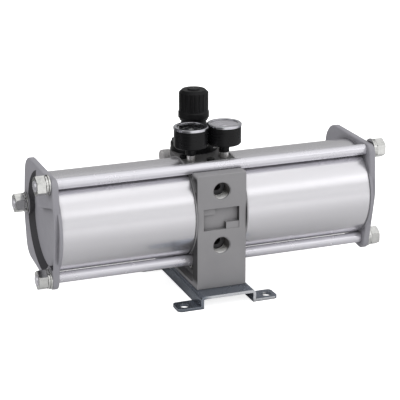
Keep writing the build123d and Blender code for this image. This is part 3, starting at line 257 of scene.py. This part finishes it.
def make_cast_skin():
    """Fine lumps and broad tone changes of a painted casting."""
    tree, enter, leave = new_group(
        "Cast skin",
        [("Grain", "NodeSocketFloat", 900.0), ("Patches", "NodeSocketFloat", 22.0)],
        [("Height", "NodeSocketFloat"), ("Tone", "NodeSocketFloat")],
    )
    place = object_place(tree)
    fine = noise(tree, place, enter.outputs["Grain"], 2.0, 0.55)
    coarse = noise(tree, place, maths(tree, "MULTIPLY", enter.outputs["Grain"], 0.22), 3.0, 0.5)
    height = maths(tree, "ADD", maths(tree, "MULTIPLY", fine, 0.6), maths(tree, "MULTIPLY", coarse, 0.4))
    wire(tree, height, leave.inputs["Height"])
    patches = noise(tree, place, enter.outputs["Patches"], 4.0, 0.6)
    wire(tree, remap(tree, patches, 0.3, 0.7), leave.inputs["Tone"])
    return tree


def make_drawn_lines():
    """Long fine lines along X, as drawing leaves them on tubes and rods."""
    tree, enter, leave = new_group(
        "Drawn lines",
        [("Fineness", "NodeSocketFloat", 1.0)],
        [("Height", "NodeSocketFloat"), ("Tone", "NodeSocketFloat")],
    )
    place = object_place(tree)
    scaled = vector_maths(tree, "MULTIPLY", place, (6.0, 900.0, 900.0))
    lines = noise(tree, scaled, enter.outputs["Fineness"], 3.0, 0.6)
    wire(tree, lines, leave.inputs["Height"])
    broad = vector_maths(tree, "MULTIPLY", place, (1.5, 60.0, 60.0))
    wire(tree, remap(tree, noise(tree, broad, 1.0, 3.0, 0.55), 0.3, 0.7), leave.inputs["Tone"])
    return tree


def make_crevice_dust():
    """Painted shade that darkens inner corners and the places under overhangs."""
    tree, enter, leave = new_group(
        "Crevice shade",
        [("Reach", "NodeSocketFloat", 0.006), ("Amount", "NodeSocketFloat", 0.6),
         ("Open", "NodeSocketFloat", 0.95)],
        [("Corner shade", "NodeSocketFloat")],
    )
    # Painted shade: the nearer other surfaces are, the darker the colour
    hollow = tree.nodes.new("ShaderNodeAmbientOcclusion")
    hollow.samples = 6
    hollow.only_local = False
    wire(tree, enter.outputs["Reach"], hollow.inputs["Distance"])
    shut = maths(tree, "MULTIPLY", enter.outputs["Open"], 0.26)
    shade = remap(tree, hollow.outputs["AO"], shut, enter.outputs["Open"], 1.0, 0.0)
    ragged = remap(tree, noise(tree, object_place(tree), 180.0, 4.0, 0.6), 0.2, 0.75, 0.55, 1.0)
    corner_shade = maths(tree, "MULTIPLY", maths(tree, "MULTIPLY", shade, ragged), enter.outputs["Amount"], True)
    wire(tree, corner_shade, leave.inputs["Corner shade"])
    return tree


def make_handling_marks():
    """Smears and fine scratches that change how glossy a surface is."""
    tree, enter, leave = new_group(
        "Handling marks",
        [("Low", "NodeSocketFloat", 0.3), ("High", "NodeSocketFloat", 0.5)],
        [("Roughness", "NodeSocketFloat")],
    )
    place = object_place(tree)
    smears = noise(tree, place, 45.0, 5.0, 0.62)
    streaks = noise(tree, vector_maths(tree, "MULTIPLY", place, (40.0, 40.0, 500.0)), 1.0, 3.0, 0.6)
    both = maths(tree, "ADD", maths(tree, "MULTIPLY", smears, 0.7), maths(tree, "MULTIPLY", streaks, 0.3))
    rough = remap(tree, both, 0.35, 0.65, enter.outputs["Low"], enter.outputs["High"])
    wire(tree, rough, leave.inputs["Roughness"])
    return tree


EDGE_WEAR_AND_SHADE = make_edge_wear()
CAST_SKIN = make_cast_skin()
DRAWN_LINES = make_drawn_lines()
CREVICE_SHADE = make_crevice_dust()
HANDLING_MARKS = make_handling_marks()


# Finishes; their reach, radius and depth are in millimetres


def start_finish(name, metallic=0.0, sheen=0.5):
    """New material; sheen is how strongly a bare, non-metal surface mirrors."""
    material = bpy.data.materials.new(name)
    material.use_nodes = True
    tree = material.node_tree
    shader = tree.nodes["Principled BSDF"]
    shader.inputs["Metallic"].default_value = metallic
    shader.inputs["Specular IOR Level"].default_value = sheen
    return material, tree, shader


def effect(tree, group, **values):
    """Places a shared effect in a material, with its own values."""
    node = tree.nodes.new("ShaderNodeGroup")
    node.node_tree = group
    for label, value in values.items():
        node.inputs[label].default_value = value
    return node.outputs


def raise_surface(tree, shader, height, distance, normal=None):
    bump = tree.nodes.new("ShaderNodeBump")
    bump.inputs["Distance"].default_value = distance
    bump.inputs["Strength"].default_value = 1.0
    wire(tree, height, bump.inputs["Height"])
    if normal is not None:
        wire(tree, normal, bump.inputs["Normal"])
    wire(tree, bump.outputs["Normal"], shader.inputs["Normal"])


def pocket_wall_mask(tree):
    """Mask of painted shade on the sloping wall round the pocket of an end cover: the wall faces the tube's
    axis.
    """
    place = vector_maths(tree, "SUBTRACT", object_place(tree), (0.0, 0.0, TUBE_AXIS_Z))
    spoke = vector_maths(tree, "MULTIPLY", place, (0.0, 1.0, 1.0))
    radius = maths(tree, "SQRT", vector_maths(tree, "DOT_PRODUCT", spoke, spoke))
    inside = remap(tree, radius, COVER_POCKET_R, COVER_POCKET_R + 0.4 * MM, 1.0, 0.0)
    outward = vector_maths(tree, "DOT_PRODUCT", spoke, surface_normal(tree))
    return maths(tree, "MULTIPLY", inside, remap(tree, outward, -0.02, -0.008, 1.0, 0.0))


def side_grime_mask(tree):
    """Mask of painted shade on the block's side faces, beside and below the tubes."""
    height = split(tree, object_place(tree))["Z"]
    above_foot = remap(tree, height, *SIDE_SHADE_BELOW_Z)
    below_rod = remap(tree, height, *SIDE_SHADE_ABOVE_Z, 1.0, 0.0)
    sideways = remap(tree, maths(tree, "ABSOLUTE", split(tree, surface_normal(tree))["X"]), 0.6, 0.9)
    return maths(tree, "MULTIPLY", maths(tree, "MULTIPLY", above_foot, below_rod), sideways)


def painted_casting(
    name, dark, light, bare, gloss=(0.42, 0.58), reach=5.0, shade_amount=0.55, open_at=0.95, shade_mask=None
):
    """Satin paint over a casting: grain, tone patches, worn edges, and painted shade in the corners and under
    a mask.
    """
    material, tree, shader = start_finish(name, sheen=0.35)
    skin = effect(tree, CAST_SKIN, Grain=850.0, Patches=24.0)
    edge = effect(tree, EDGE_WEAR_AND_SHADE, Radius=0.7 * MM, Amount=0.75)
    corner_shade = effect(tree, CREVICE_SHADE, Reach=reach * MM, Amount=shade_amount, Open=open_at)
    colour = blend_colour(tree, skin["Tone"], dark, light)
    colour = blend_colour(tree, edge["Wear and shade"], colour, bare)
    if shade_mask:
        # Painted shade where the mask is set
        colour = blend_colour(tree, shade_mask(tree), colour, tuple(0.16 * c for c in dark))
    # Painted shade in the corners
    colour = blend_colour(tree, corner_shade["Corner shade"], colour, tuple(0.12 * c for c in dark))
    wire(tree, colour, shader.inputs["Base Color"])
    marks = effect(tree, HANDLING_MARKS, Low=gloss[0], High=gloss[1])
    wire(tree, marks["Roughness"], shader.inputs["Roughness"])
    raise_surface(tree, shader, skin["Height"], 0.09 * MM, edge["Normal"])
    return material


def drawn_metal(name, dark, light, gloss, metallic=1.0, depth=0.006, shaded_under_rods=False):
    """Drawn tube or bar: fine lines along X, slow changes of tone, and, when asked, painted shade under the
    top rods.
    """
    material, tree, shader = start_finish(name, metallic)
    lines = effect(tree, DRAWN_LINES, Fineness=1.0)
    colour = blend_colour(tree, lines["Tone"], dark, light)
    if shaded_under_rods:
        corner_shade = effect(tree, CREVICE_SHADE, Reach=4.0 * MM, Amount=1.0)
        upper = remap(tree, split(tree, object_place(tree))["Z"], *TUBE_SHADE_Z)
        rod_shade = maths(tree, "MULTIPLY", corner_shade["Corner shade"], upper)
        # Painted shade on the upper tube, next to the rods
        colour = blend_colour(tree, rod_shade, colour, (0.02, 0.02, 0.022))
    wire(tree, colour, shader.inputs["Base Color"])
    marks = effect(tree, HANDLING_MARKS, Low=gloss[0], High=gloss[1])
    wire(tree, marks["Roughness"], shader.inputs["Roughness"])
    raise_surface(tree, shader, lines["Height"], depth * MM)
    return material


def plated_steel(name, dark, light, gloss, radius=0.35, rim=1.15):
    """Zinc or nickel plate: cloudy tone, softened edges that are rim times as light, and painted shade in the
    corners.
    """
    material, tree, shader = start_finish(name, 1.0)
    skin = effect(tree, CAST_SKIN, Grain=2200.0, Patches=140.0)
    edge = effect(tree, EDGE_WEAR_AND_SHADE, Radius=radius * MM, Amount=0.8)
    corner_shade = effect(tree, CREVICE_SHADE, Reach=2.5 * MM, Amount=0.7)
    colour = blend_colour(tree, skin["Tone"], dark, light)
    colour = blend_colour(tree, edge["Wear and shade"], colour, tuple(min(1.0, rim * c) for c in light))
    # Painted shade in the corners
    colour = blend_colour(tree, corner_shade["Corner shade"], colour, tuple(0.2 * c for c in dark))
    wire(tree, colour, shader.inputs["Base Color"])
    marks = effect(tree, HANDLING_MARKS, Low=gloss[0], High=gloss[1])
    wire(tree, marks["Roughness"], shader.inputs["Roughness"])
    raise_surface(tree, shader, skin["Height"], 0.01 * MM, edge["Normal"])
    return material


def black_moulding(name, gloss, grain=1600.0, depth=0.05):
    """Black moulded plastic or enamel with a fine grain, greyer where hands rub it."""
    material, tree, shader = start_finish(name, sheen=0.2)
    skin = effect(tree, CAST_SKIN, Grain=grain, Patches=60.0)
    edge = effect(tree, EDGE_WEAR_AND_SHADE, Radius=0.4 * MM, Amount=0.6)
    colour = blend_colour(tree, skin["Tone"], (0.005, 0.005, 0.0055), (0.009, 0.009, 0.01))
    colour = blend_colour(tree, edge["Wear and shade"], colour, (0.024, 0.024, 0.026))
    wire(tree, colour, shader.inputs["Base Color"])
    marks = effect(tree, HANDLING_MARKS, Low=gloss[0], High=gloss[1])
    wire(tree, marks["Roughness"], shader.inputs["Roughness"])
    raise_surface(tree, shader, skin["Height"], depth * MM, edge["Normal"])
    return material


def foot_paint():
    """Bluish grey semi-gloss finish on the folded foot; its front faces carry a painted highlight right of
    the left leg, and its corners painted shade.
    """
    material, tree, shader = start_finish("Foot paint", 0.85)
    skin = effect(tree, CAST_SKIN, Grain=1400.0, Patches=40.0)
    edge = effect(tree, EDGE_WEAR_AND_SHADE, Radius=0.5 * MM, Amount=1.0)
    corner_shade = effect(tree, CREVICE_SHADE, Reach=5.0 * MM, Amount=1.0)
    forward = remap(tree, split(tree, surface_normal(tree))["Y"], -0.98, -0.9, 0.85, 0.0)
    highlight_right_of_leg = remap(tree, split(tree, object_place(tree))["X"], *HIGHLIGHT_EDGE_X)
    colour = blend_colour(tree, skin["Tone"], (0.24, 0.27, 0.315), (0.29, 0.32, 0.37))
    # Painted highlight on the front faces right of the left leg
    colour = blend_colour(tree, maths(tree, "MULTIPLY", forward, highlight_right_of_leg), colour, (0.86, 0.87, 0.9))
    colour = blend_colour(tree, edge["Wear and shade"], colour, (0.72, 0.74, 0.78))
    colour = blend_colour(tree, corner_shade["Corner shade"], colour, (0.02, 0.022, 0.026))
    wire(tree, colour, shader.inputs["Base Color"])
    marks = effect(tree, HANDLING_MARKS, Low=0.2, High=0.3)
    wire(tree, marks["Roughness"], shader.inputs["Roughness"])
    raise_surface(tree, shader, skin["Height"], 0.02 * MM, edge["Normal"])
    return material


def porous_sinter():
    """Pressed porous silencer: pits all over a grey body."""
    material, tree, shader = start_finish("Porous sinter")
    cells = tree.nodes.new("ShaderNodeTexVoronoi")
    wire(tree, object_place(tree), cells.inputs["Vector"])
    cells.inputs["Scale"].default_value = 1100.0
    pits = remap(tree, cells.outputs["Distance"], 0.1, 0.5)
    colour = blend_colour(tree, pits, (0.17, 0.165, 0.165), (0.46, 0.45, 0.45))
    wire(tree, colour, shader.inputs["Base Color"])
    shader.inputs["Roughness"].default_value = 0.75
    raise_surface(tree, shader, pits, 0.25 * MM)
    return material


def soft_rubber():
    material, tree, shader = start_finish("Seal rubber")
    skin = effect(tree, CAST_SKIN, Grain=1800.0, Patches=90.0)
    colour = blend_colour(tree, skin["Tone"], (0.012, 0.012, 0.012), (0.028, 0.028, 0.028))
    wire(tree, colour, shader.inputs["Base Color"])
    shader.inputs["Roughness"].default_value = 0.65
    raise_surface(tree, shader, skin["Height"], 0.03 * MM)
    return material


def dial_enamel():
    material, tree, shader = start_finish("Dial enamel")
    skin = effect(tree, CAST_SKIN, Grain=1500.0, Patches=120.0)
    colour = blend_colour(tree, skin["Tone"], (0.012, 0.012, 0.014), (0.022, 0.022, 0.025))
    wire(tree, colour, shader.inputs["Base Color"])
    shader.inputs["Roughness"].default_value = 0.5
    return material


def mark_paint():
    material, tree, shader = start_finish("Mark paint")
    skin = effect(tree, CAST_SKIN, Grain=1500.0, Patches=200.0)
    colour = blend_colour(tree, skin["Tone"], (0.68, 0.68, 0.66), (0.82, 0.82, 0.8))
    wire(tree, colour, shader.inputs["Base Color"])
    shader.inputs["Roughness"].default_value = 0.45
    return material


def lens_glass(name, tint, clear=1.0):
    """Lens with faint smears; clear is how much light goes through it."""
    material, tree, shader = start_finish(name)
    shader.inputs["Base Color"].default_value = opaque(tint)
    shader.inputs["Transmission Weight"].default_value = clear
    shader.inputs["IOR"].default_value = 1.5
    marks = effect(tree, HANDLING_MARKS, Low=0.01, High=0.06)
    wire(tree, marks["Roughness"], shader.inputs["Roughness"])
    return material


def cut_thread():
    """Bare cut thread: painted dark as shade inside the port, with a painted highlight where it faces up to
    the light.
    """
    material, tree, shader = start_finish("Cut thread")
    skin = effect(tree, CAST_SKIN, Grain=2200.0, Patches=140.0)
    upward_highlight = remap(tree, split(tree, surface_normal(tree))["Z"], 0.3, 0.7)
    colour = blend_colour(tree, upward_highlight, (0.03, 0.027, 0.025), (0.92, 0.91, 0.9))
    colour = blend_colour(tree, maths(tree, "MULTIPLY", skin["Tone"], 0.25), colour, (0.1, 0.095, 0.09))
    wire(tree, colour, shader.inputs["Base Color"])
    shader.inputs["Roughness"].default_value = 0.4
    raise_surface(tree, shader, skin["Height"], 0.01 * MM)
    return material


FINISHES = {
    # The block's paint: strong painted shade in its pockets and on its side faces
    "cast_block": painted_casting(
        "Block paint", (0.27, 0.265, 0.275), (0.3, 0.295, 0.305), (0.42, 0.42, 0.43), reach=14.0, shade_amount=1.0,
        open_at=0.62, shade_mask=side_grime_mask
    ),
    # The cover's paint: painted shade on the wall round its pocket
    "cast_cover": painted_casting(
        "Cover paint", (0.295, 0.29, 0.32), (0.33, 0.325, 0.355), (0.42, 0.42, 0.44), reach=8.0, shade_amount=0.9,
        shade_mask=pocket_wall_mask
    ),
    "tube_aluminium": drawn_metal(
        "Drawn tube", (0.735, 0.725, 0.755), (0.765, 0.755, 0.785), (0.22, 0.27), metallic=0.9, shaded_under_rods=True
    ),
    "bright_steel": drawn_metal(
        "Bright rod", (0.74, 0.73, 0.78), (0.8, 0.79, 0.84), (0.25, 0.28), metallic=0.65, depth=0.002
    ),
    "chromed_rod": drawn_metal("Chromed rod", (0.78, 0.78, 0.8), (0.84, 0.84, 0.86), (0.06, 0.12)),
    "painted_steel": foot_paint(),
    # Zinc: rim=0.2 paints the edges of nuts and washers dark, a painted dark reflection on their chamfers
    "zinc": plated_steel("Zinc plate", (0.6, 0.6, 0.59), (0.8, 0.8, 0.78), (0.1, 0.16), radius=0.9, rim=0.2),
    "nickel": plated_steel("Nickel plate", (0.9, 0.89, 0.87), (0.96, 0.95, 0.93), (0.3, 0.4)),
    "bezel_steel": plated_steel("Bezel steel", (0.56, 0.56, 0.6), (0.68, 0.68, 0.72), (0.14, 0.2)),
    "spring_steel": plated_steel(
        "Spring steel", (0.6, 0.6, 0.6), (0.8, 0.8, 0.8), (0.15, 0.25), radius=0.15
    ),
    "bronze": plated_steel("Machined bronze", (0.5, 0.33, 0.14), (0.62, 0.43, 0.2), (0.25, 0.4)),
    "black_rubber": soft_rubber(),
    "black_plastic": black_moulding("Knob moulding", (0.36, 0.5)),
    "black_case": black_moulding("Gauge enamel", (0.22, 0.34), grain=700.0, depth=0.02),
    # Governor plate: the grey casting paint made darker, as painted shade under the gauges
    "dark_plate": painted_casting("Shaded plate paint", (0.1, 0.098, 0.1), (0.13, 0.127, 0.13), (0.25, 0.25, 0.26)),
    "grey_sinter": porous_sinter(),
    "dial_face": dial_enamel(),
    "pointer_paint": mark_paint(),
    "clear_lens": lens_glass("Lens glass", (0.97, 0.98, 0.99)),
    "black_oxide": black_moulding("Screw blacking", (0.3, 0.42), grain=900.0, depth=0.01),
}
# Right gauge lens: less clear and pale, a painted reflection of the sky
PAINTED_REFLECTION_LENS = lens_glass("Lens with painted reflection", (0.9, 0.89, 0.95), clear=0.8)
CUT_THREAD = cut_thread()


def dress_solids():
    """Gives every solid the finish that its material slot names."""
    slots = {row["node"]: row["material_slot"] for row in frame["record"]["subparts"]}
    for name, solid in frame["nodes"].items():
        for place in solid.material_slots:
            place.material = FINISHES[slots[name]]
    # The right lens gets the painted reflection
    frame["nodes"]["gauge_lens_right"].material_slots[0].material = PAINTED_REFLECTION_LENS
    frame["nodes"]["gauge_clip"].material_slots[0].material = FINISHES["nickel"]


# Pieces added over the solids


def new_piece(name, points, faces, material, body="frame", smooth=False):
    mesh = bpy.data.meshes.new(name)
    mesh.from_pydata(points, [], faces)
    mesh.validate()
    mesh.materials.append(material)
    for polygon in mesh.polygons:
        polygon.use_smooth = smooth
    piece = bpy.data.objects.new(name, mesh)
    bpy.context.scene.collection.objects.link(piece)
    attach(piece, body)
    return piece


def port_thread(name, port):
    """Helical ridge inside a port, faded at its first and last turn."""
    height = port["pos_m"][2]
    wall_r = port["dims"]["r_mm"] * MM
    total = int(THREAD_STEPS * THREAD_TURNS)
    half = THREAD_HALF_FOOT
    crest = 0.1 * half
    points, faces = [], []
    for i in range(total + 1):
        angle = 2 * pi * i / THREAD_STEPS
        fade = min(1.0, i / THREAD_STEPS, (total - i) / THREAD_STEPS)
        crest_r = wall_r - THREAD_DEPTH * fade - THREAD_LEAST
        y = PORT_FACE_Y + THREAD_LEAD_IN + THREAD_PITCH * i / THREAD_STEPS
        for offset, radius in ((-half, wall_r), (-crest, crest_r), (crest, crest_r), (half, wall_r)):
            points.append((radius * cos(angle), y + offset, height + radius * sin(angle)))
    for i in range(total):
        low, high = 4 * i, 4 * i + 4
        faces += [(low + k, low + k + 1, high + k + 1, high + k) for k in range(3)]
        faces.append((low + 3, low, high, high + 3))
    faces.append((0, 1, 2, 3))
    faces.append(tuple(4 * total + k for k in (3, 2, 1, 0)))
    return new_piece(name, points, faces, CUT_THREAD)


def flat_bar(centre, angle, near, far, width, low, high):
    """Corner points of a thin bar that lies along a ray from the dial's centre."""
    along = Vector((cos(angle), sin(angle), 0))
    across = Vector((-sin(angle), cos(angle), 0)) * width / 2
    middle = Vector((*centre, 0))
    ring = [middle + along * near - across, middle + along * far - across,
            middle + along * far + across, middle + along * near + across]
    return [tuple(p + Vector((0, 0, z))) for z in (low, high) for p in ring]


BAR_FACES = ((3, 2, 1, 0), (4, 5, 6, 7), (0, 1, 5, 4), (1, 2, 6, 5), (2, 3, 7, 6), (3, 0, 4, 7))


def dial_centre(side):
    """X and Y of a gauge's axis, from the round bezel that the frame has there."""
    low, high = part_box(f"gauge_bezel_{side}")
    return (low.x + high.x) / 2, (low.y + high.y) / 2


def dial_scale(side, centre):
    """Plain division marks round a dial: a longer, wider one at every fifth."""
    points, faces = [], []
    for i in range(SCALE_STEPS + 1):
        angle = radians(DIAL_START - DIAL_SWEEP * i / SCALE_STEPS)
        near, width = MAJOR_MARK if i % MARKS_PER_MAJOR == 0 else MINOR_MARK
        start = len(points)
        points += flat_bar(centre, angle, near, SCALE_OUTER_R, width, DIAL_TOP, DIAL_TOP + MARK_THICK)
        faces += [tuple(start + k for k in face) for face in BAR_FACES]
    return new_piece(f"dial_scale_{side}", points, faces, FINISHES["pointer_paint"])


def dial_numbers(side, centre):
    """Plain numbers inside the scale, as one flat mesh."""
    points, faces = [], []
    for step in range(0, LAST_NUMBER + 1, NUMBER_STEP):
        angle = radians(DIAL_START - DIAL_SWEEP * step / LAST_NUMBER)
        curve = bpy.data.curves.new(f"number_{side}_{step}", "FONT")
        curve.body = str(step)
        curve.size = NUMBER_SIZE
        curve.extrude = MARK_THICK / 2
        curve.align_x = curve.align_y = "CENTER"
        text = bpy.data.objects.new(f"number_{side}_{step}", curve)
        bpy.context.scene.collection.objects.link(text)
        bpy.context.view_layer.update()
        mesh = bpy.data.meshes.new_from_object(text.evaluated_get(bpy.context.evaluated_depsgraph_get()))
        shift = Vector((*centre, DIAL_TOP + MARK_THICK / 2))
        shift += NUMBER_R * Vector((cos(angle), sin(angle), 0))
        start = len(points)
        points += [tuple(v.co + shift) for v in mesh.vertices]
        faces += [tuple(start + k for k in p.vertices) for p in mesh.polygons]
        bpy.data.objects.remove(text)
        bpy.data.meshes.remove(mesh)
    return new_piece(f"dial_numbers_{side}", points, faces, FINISHES["pointer_paint"])


def coil_spring(node, joint, axis, fixed_corner, thickness, turns):
    """Round-wire spring in a solid's place, which hides the solid; the joint and the fixed corner are not
    used.
    """
    low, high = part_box(node)
    middle = (Vector(low) + Vector(high)) / 2
    across = (axis + 1) % 3
    coil_r = (high[across] - low[across] - thickness) / 2
    length = high[axis] - low[axis]
    total = int(COIL_STEPS * turns)
    along = Vector([float(k == axis) for k in range(3)])
    first = Vector([float(k == across) for k in range(3)])
    second = along.cross(first)
    points, faces = [], []
    for i in range(total + 1):
        angle = 2 * pi * i / COIL_STEPS
        spoke = first * cos(angle) + second * sin(angle)
        rise = low[axis] + thickness / 2 + (length - thickness) * i / total
        centre = middle + along * (rise - middle[axis]) + spoke * coil_r
        for k in range(COIL_SIDES):
            bend = 2 * pi * k / COIL_SIDES
            points.append(tuple(centre + (spoke * cos(bend) + along * sin(bend)) * thickness / 2))
    for i in range(total):
        here, ahead = COIL_SIDES * i, COIL_SIDES * (i + 1)
        for k in range(COIL_SIDES):
            beside = (k + 1) % COIL_SIDES
            faces.append((here + k, here + beside, ahead + beside, ahead + k))
    faces.append(tuple(range(COIL_SIDES))[::-1])
    faces.append(tuple(COIL_SIDES * total + k for k in range(COIL_SIDES)))
    steel = FINISHES["spring_steel"]
    piece = new_piece(f"{node}_coil", points, faces, steel, smooth=True)
    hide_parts(node)
    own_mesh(piece)


# Studio


def value_by_ray(tree, lighting, mirrored, seen):
    """One value for lighting rays, one for mirror rays, one for what the camera or a lens sees."""
    path = tree.nodes.new("ShaderNodeLightPath")
    direct = maths(tree, "MAXIMUM", path.outputs["Is Camera Ray"], path.outputs["Is Transmission Ray"])
    value = remap(tree, path.outputs["Is Glossy Ray"], 0.0, 1.0, lighting, mirrored)
    return remap(tree, direct, 0.0, 1.0, value, seen)


def lay_floor():
    """Pale floor that shows near white and keeps the soft shadow; metal mirrors it darker behind and left."""
    mesh = bpy.data.meshes.new("studio_floor")
    corners = [(x * FLOOR_REACH, y * FLOOR_REACH, 0) for x, y in ((-1, -1), (1, -1), (1, 1), (-1, 1))]
    mesh.from_pydata(corners, [], [(0, 1, 2, 3)])
    material = bpy.data.materials.new("Studio floor")
    material.use_nodes = True
    tree = material.node_tree
    tree.nodes.clear()
    matt = tree.nodes.new("ShaderNodeBsdfDiffuse")
    place = split(tree, object_place(tree))
    mirrored = remap(tree, place["Y"], -0.45, -0.08, 0.95, 0.62)
    mirrored = maths(tree, "MULTIPLY", mirrored, remap(tree, place["X"], -0.34, -0.22, 0.12, 1.0))
    wire(tree, value_by_ray(tree, FLOOR_COLOUR, mirrored, FLOOR_SEEN), matt.inputs["Color"])
    glow = tree.nodes.new("ShaderNodeEmission")
    wire(tree, value_by_ray(tree, 0.0, 0.0, FLOOR_SEEN), glow.inputs["Strength"])
    total = tree.nodes.new("ShaderNodeAddShader")
    wire(tree, matt.outputs[0], total.inputs[0])
    wire(tree, glow.outputs[0], total.inputs[1])
    out = tree.nodes.new("ShaderNodeOutputMaterial")
    wire(tree, total.outputs[0], out.inputs["Surface"])
    mesh.materials.append(material)
    floor = bpy.data.objects.new("studio_floor", mesh)
    bpy.context.scene.collection.objects.link(floor)


def soft_box(name, place, size, power):
    lamp = bpy.data.lights.new(name, "AREA")
    lamp.shape = "RECTANGLE"
    lamp.size, lamp.size_y = size
    lamp.energy = power
    box = bpy.data.objects.new(name, lamp)
    box.location = place
    box.rotation_euler = (Vector(LAMP_AIM) - Vector(place)).to_track_quat("-Z", "Y").to_euler()
    bpy.context.scene.collection.objects.link(box)


def mirrored_room(tree):
    """What bright metal mirrors of the room: pale in front, dimmer above, grey behind, dark on the left."""
    way = split(tree, tree.nodes.new("ShaderNodeTexCoord").outputs["Generated"])
    behind = remap(tree, way["Y"], -0.05, 0.3)
    low = remap(tree, way["Z"], 0.45, 0.8, 1.0, 0.0)
    front = remap(tree, way["Z"], 0.2, 0.5, ROOM_FRONT, ROOM_ABOVE)
    value = remap(tree, maths(tree, "MULTIPLY", behind, low), 0.0, 1.0, front, ROOM_BEHIND)
    return maths(tree, "MULTIPLY", value, remap(tree, way["X"], -0.4, 0.05, ROOM_LEFT_SHARE, 1.0))


def light_studio():
    world = bpy.data.worlds.new("Studio")
    bpy.context.scene.world = world
    world.use_nodes = True
    tree = world.node_tree
    background = tree.nodes["Background"]
    background.inputs["Color"].default_value = (1.0, 1.0, 1.0, 1.0)
    wire(tree, value_by_ray(tree, WORLD_LIGHT, mirrored_room(tree), 1.0), background.inputs["Strength"])
    for row in LAMPS:
        soft_box(*row)


def place_camera():
    azimuth, elevation = radians(CAMERA_AZIMUTH), radians(CAMERA_ELEVATION)
    ahead = Vector((sin(azimuth) * cos(elevation), cos(azimuth) * cos(elevation), -sin(elevation)))
    right = Vector((cos(azimuth), -sin(azimuth), 0.0))
    up = right.cross(ahead)
    turn = Matrix((right, up, -ahead)).transposed().to_4x4()
    lens = bpy.data.cameras.new("camera")
    lens.lens = CAMERA_LENS
    lens.sensor_width = CAMERA_SENSOR
    lens.clip_start = 0.05
    lens.clip_end = 100.0
    camera = bpy.data.objects.new("camera", lens)
    camera.matrix_world = Matrix.Translation(CAMERA_PLACE) @ turn
    bpy.context.scene.collection.objects.link(camera)
    bpy.context.scene.camera = camera


dress_solids()
port_thread("inlet_thread", MOUNTS["inlet_port"])
port_thread("outlet_thread", MOUNTS["outlet_port"])
for side in ("left", "right"):
    dial_scale(side, dial_centre(side))
    dial_numbers(side, dial_centre(side))
for row in SPRINGS:
    coil_spring(*row)
lay_floor()
light_studio()
place_camera()
bpy.context.scene.view_settings.view_transform = "Standard"
